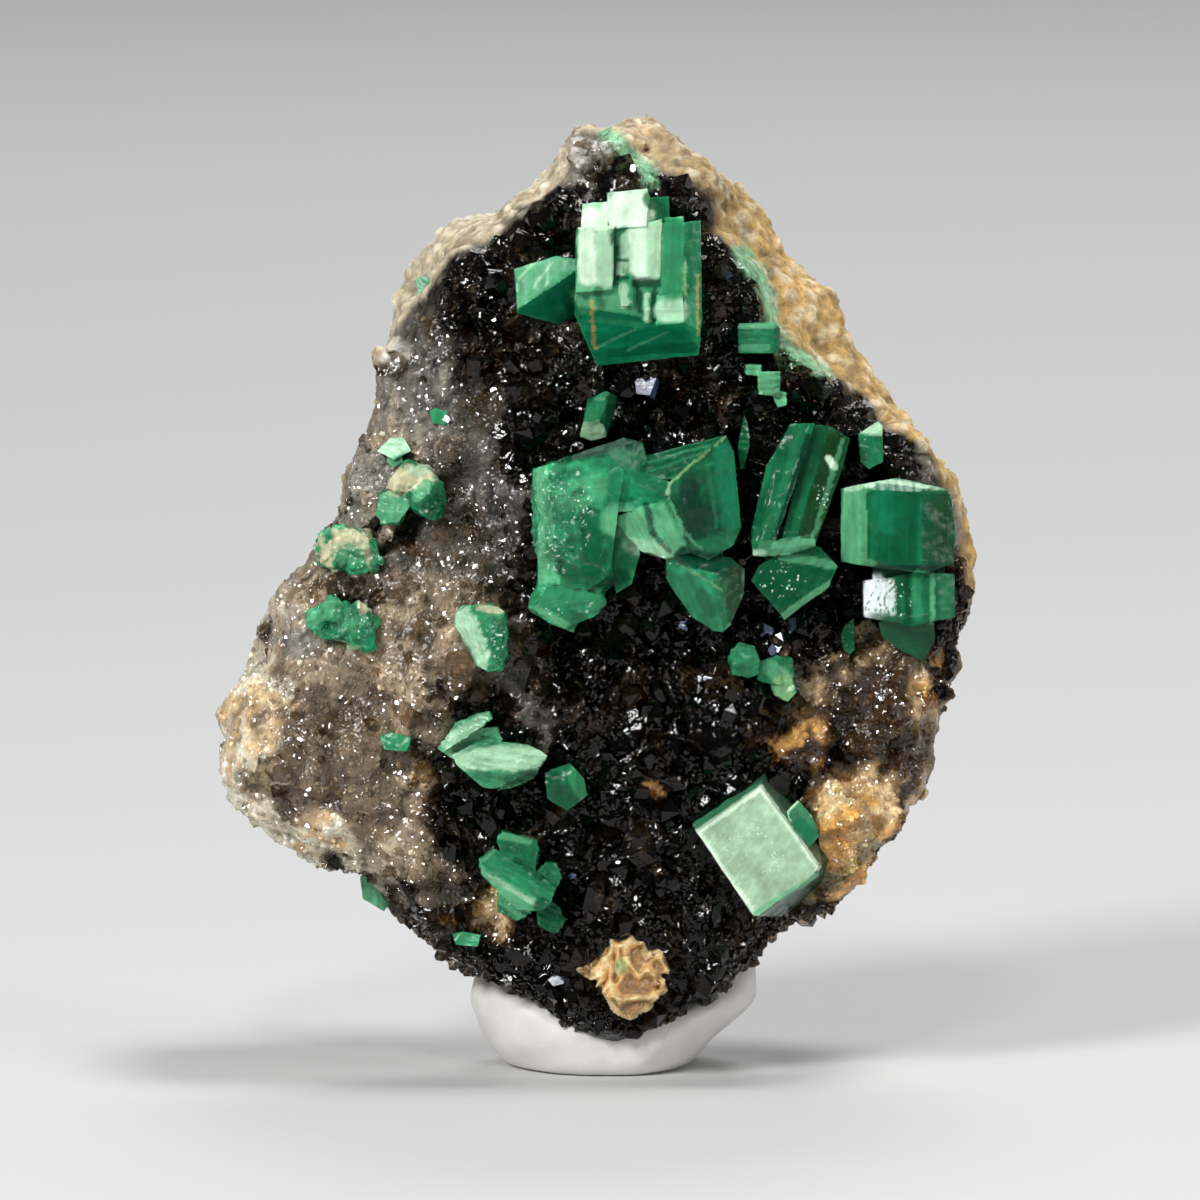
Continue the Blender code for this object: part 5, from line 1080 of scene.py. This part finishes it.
def feed(socket, value):
    if isinstance(value, bpy.types.NodeSocket):
        socket.id_data.links.new(value, socket)
    else:
        socket.default_value = value


def newFinish(name):  # the material, its shader and its places, in mm of the rock's own frame
    made = bpy.data.materials.new(name)
    made.use_nodes = True
    shader = made.node_tree.nodes["Principled BSDF"]
    source = node(shader, "ShaderNodeTexCoord", "Object", {})
    scale = (1 / mm, 1 / mm, 1 / mm)
    turned = {"Vector": source, "Scale": scale, "Rotation": (faceLean, 0, 0), "Location": tuple(-faceZero)}
    return made, shader, node(shader, "ShaderNodeMapping", "Vector", turned)


def grain(shader, places, scale, detail=4.0, rough=0.6):
    inputs = {"Vector": places, "Scale": scale, "Detail": detail, "Roughness": rough}
    return node(shader, "ShaderNodeTexNoise", "Fac", inputs)


def ranged(shader, value, low, high, fromLow=0.35, fromHigh=0.65):
    inputs = {"Value": value, "To Min": low, "To Max": high, "From Min": fromLow, "From Max": fromHigh}
    return node(shader, "ShaderNodeMapRange", "Result", inputs)


def layer(shader, name, output="Fac"):  # what was painted on the vertices
    return node(shader, "ShaderNodeAttribute", output, {}, attribute_name=name)


def timesTint(shader, factor):  # the painted colour, lighter and darker by a factor
    inputs = {0: layer(shader, "tint", "Color"), "Scale": factor}
    return node(shader, "ShaderNodeVectorMath", "Vector", inputs, operation="SCALE")


def times(shader, left, right):
    return node(shader, "ShaderNodeMath", "Value", {0: left, 1: right}, operation="MULTIPLY")


def plus(shader, left, right):
    return node(shader, "ShaderNodeMath", "Value", {0: left, 1: right}, operation="ADD")


def bumped(shader, height, distance, strength):
    inputs = {"Height": height, "Distance": distance * mm, "Strength": strength}
    feed(shader.inputs["Normal"], node(shader, "ShaderNodeBump", "Normal", inputs))


def setShader(shader, **values):  # sockets by their names, with _ for a space
    for key, value in values.items():
        feed(shader.inputs[key.replace("_", " ")], value)


def stoneFinish(name, specular, gloss, ripple, glow, depth=0.17):  # weathered where dry, glassy where wet
    made, shader, places = newFinish(name)
    wet = layer(shader, "wet")
    dry = ranged(shader, wet, 1.0, 0.0, 0.0, 1.0)
    speckle = ranged(shader, grain(shader, places, 3.0, 3.0), gloss, 3 * gloss)
    setShader(
        shader, Roughness=plus(shader, times(shader, dry, 0.6), speckle), Specular_IOR_Level=specular,
        Base_Color=timesTint(shader, ranged(shader, grain(shader, places, 2.6, 7.0, 0.66), 0.55, 1.5)),
        Subsurface_Weight=glow, Subsurface_Radius=(1.0, 0.75, 0.5), Subsurface_Scale=0.8 * mm,
    )
    crumbs = times(shader, grain(shader, places, 5.0, 6.0, 0.7), dry)
    sparks = times(shader, grain(shader, places, 6.5, 2.0, 0.5), ripple)
    waves = plus(shader, grain(shader, places, 2.2, 2.0, 0.5), sparks)
    glassy = times(shader, waves, times(shader, wet, 0.85))
    bumped(shader, plus(shader, crumbs, glassy), depth, 0.9)
    return made


def quartzFinish():  # smoky and clear quartz, seen through to the rock below
    made, shader, places = newFinish("quartz_glass")
    setShader(
        shader, Base_Color=layer(shader, "tint", "Color"), IOR=1.36, Transmission_Weight=1.0,
        Roughness=ranged(shader, grain(shader, places, 1.1, 3.0), 0.02, 0.12),
    )
    bumped(shader, grain(shader, places, 2.1, 3.0, 0.5), 0.1, 0.75)
    return made


def mirrorFinish():  # quartz faces that catch the lamp
    made, shader, places = newFinish("mirror_face")
    soft = grain(shader, places, 1.4, 5.0, 0.7)
    setShader(shader, Base_Color=timesTint(shader, ranged(shader, soft, 0.3, 1.4)), IOR=2.0)
    setShader(shader, Roughness=ranged(shader, soft, 0.1, 0.24))
    turned = {"Vector": places, "Scale": (0.7, 0.7, 2.6), "Rotation": (0, math.radians(35), 0)}
    streaks = grain(shader, node(shader, "ShaderNodeMapping", "Vector", turned), 2.2, 4.0, 0.6)
    bumped(shader, streaks, 0.045, 0.6)
    return made


def torberniteFinish():  # green with fine growth lines, and pinpoints of light where the spark layer says so
    made, shader, places = newFinish("torbernite_green")
    lines = grain(shader, layer(shader, "flow", "Vector"), 1.0, 5.0, 0.7)
    mottle = grain(shader, places, 1.7, 7.0, 0.66)
    both = times(shader, ranged(shader, lines, 0.82, 1.2), ranged(shader, mottle, 0.84, 1.18))
    # painted glints: pale dots laid into the base colour where the spark layer is set
    cells = {"Vector": places, "Scale": 7.0}
    distance = node(shader, "ShaderNodeTexVoronoi", "Distance", cells)
    uneven = ranged(shader, grain(shader, places, 9.0, 3.0), 0.5, 2.2)
    dots = ranged(shader, times(shader, distance, uneven), 1.0, 0.0, 0.16, 0.34)
    some = ranged(shader, node(shader, "ShaderNodeTexVoronoi", "Color", cells), 0.0, 1.0, 0.3, 0.55)
    groups = ranged(shader, grain(shader, places, 1.3, 2.0), 0.0, 1.0, 0.38, 0.5)
    share = times(shader, times(shader, times(shader, dots, some), groups), layer(shader, "spark"))
    tints = {"Factor": share, "A": timesTint(shader, both), "B": (0.65, 0.88, 0.76, 1)}
    setShader(
        shader, Base_Color=node(shader, "ShaderNodeMix", "Result", tints, data_type="RGBA"),
        Roughness=ranged(shader, grain(shader, places, 3.0), 0.06, 0.2), Specular_IOR_Level=0.26,
        Subsurface_Weight=0.35, Subsurface_Radius=(0.3, 1.0, 0.55), Subsurface_Scale=0.4 * mm,
    )
    bumped(shader, plus(shader, lines, grain(shader, places, 5.0, 6.0, 0.7)), 0.025, 0.5)
    return made


def puttyFinish():
    made, shader, places = newFinish("white_putty")
    soil = ranged(shader, grain(shader, places, 0.5), 0.9, 1.0)
    white = {"Red": 0.78, "Green": 0.76, "Blue": 0.73}
    soiled = {channel: times(shader, soil, share) for channel, share in white.items()}
    setShader(
        shader, Base_Color=node(shader, "ShaderNodeCombineColor", "Color", soiled), Subsurface_Weight=0.1,
        Subsurface_Scale=0.6 * mm, Roughness=ranged(shader, grain(shader, places, 1.5), 0.45, 0.65),
    )
    bumped(shader, grain(shader, places, 1.2, 3.0), 0.08, 0.5)
    return made


stone = stoneFinish("rock_and_pale_druse", 0.6, 0.04, 0.6, 0.6)
darkStone = stoneFinish("dark_druse", 0.3, 0.03, 0.25, 0.0)
glintStone = stoneFinish("glitter_faces", 1.0, 0.03, 0.2, 0.3, depth=0.05)
glass = quartzFinish()
green = torberniteFinish()
finishes = [
    (rock, stone), (rock, darkStone), (patch, stone), (druse, glass), (glitter, glintStone), (quartz, glass),
    (mirrors, mirrorFinish()), (putty, puttyFinish()), *[(crystal, green) for crystal in crystals],
]
for piece, finish in finishes:
    piece.data.materials.append(finish)
loops = np.empty(len(rock.data.loops), np.int32)
rock.data.loops.foreach_get("vertex_index", loops)
starts = np.empty(len(rock.data.polygons), np.int32)
rock.data.polygons.foreach_get("loop_start", starts)
rock.data.polygons.foreach_set("material_index", (smoky[loops[starts]] > 0.5).astype(np.int32))
print("finishes set")


# floor, light and camera

stageWork = dict(floorHalf=3.0, floorColour=(0.6, 0.6, 0.6), roomColour=(0.8, 0.82, 0.85), roomLight=0.14)
bpy.ops.object.select_all(action="DESELECT")
bpy.ops.mesh.primitive_plane_add(size=2 * stageWork["floorHalf"], location=(0, 0, 0))
floor = bpy.context.object
floor.name = "floor"
floorFinish = bpy.data.materials.new("pale_floor")
floorFinish.use_nodes = True
shader = floorFinish.node_tree.nodes["Principled BSDF"]
setShader(shader, Base_Color=(*stageWork["floorColour"], 1), Roughness=0.7)
floor.data.materials.append(floorFinish)

room = bpy.data.worlds.new("room")
room.use_nodes = True
room.node_tree.nodes["Background"].inputs["Color"].default_value = (*stageWork["roomColour"], 1)
room.node_tree.nodes["Background"].inputs["Strength"].default_value = stageWork["roomLight"]
bpy.context.scene.world = room
bpy.context.scene.view_settings.view_transform = "Standard"

lamps = {
    "key": dict(at=(-0.26, -0.34, 0.26), size=0.13, power=1.9),
    "top": dict(at=(0.12, -0.02, 0.42), size=0.14, power=1.0),
    "right": dict(at=(0.34, -0.18, 0.12), size=0.1, power=0.3),
    "glint": dict(at=(-0.03, -0.4, 0.36), size=0.06, power=0.45),
    "back": dict(at=(0.05, 0.42, 0.42), size=0.3, power=1.2, aim=(0, 0.4, 0)),
}
middle = (0, -0.004, 0.016)
for name, lamp in lamps.items():
    bpy.ops.object.light_add(type="AREA", location=lamp["at"])
    light = bpy.context.object
    light.name = name
    light.data.shape = "DISK"
    light.data.size = lamp["size"]
    light.data.energy = lamp["power"]
    beam = Vector(lamp.get("aim", middle)) - Vector(lamp["at"])
    light.rotation_euler = beam.to_track_quat("-Z", "Y").to_euler()

view = dict(elevation=6.0, away=500.0, across=40.0, middle=(-0.2, 15.717), nearPlane=-7.7)
sight = Vector((0, math.cos(math.radians(view["elevation"])), -math.sin(math.radians(view["elevation"]))))
upward = Vector((0, math.sin(math.radians(view["elevation"])), math.cos(math.radians(view["elevation"]))))
target = Vector((view["middle"][0], 0, 0)) + upward * view["middle"][1] + sight * view["nearPlane"]
bpy.ops.object.camera_add(location=(target - sight * view["away"]) * mm)
camera = bpy.context.object
camera.rotation_euler = sight.to_track_quat("-Z", "Y").to_euler()
camera.data.sensor_width = 36
camera.data.lens = 36 * view["away"] / view["across"]
camera.data.clip_start = 0.01
camera.data.clip_end = 20
bpy.context.scene.camera = camera
print("floor, light and camera set")
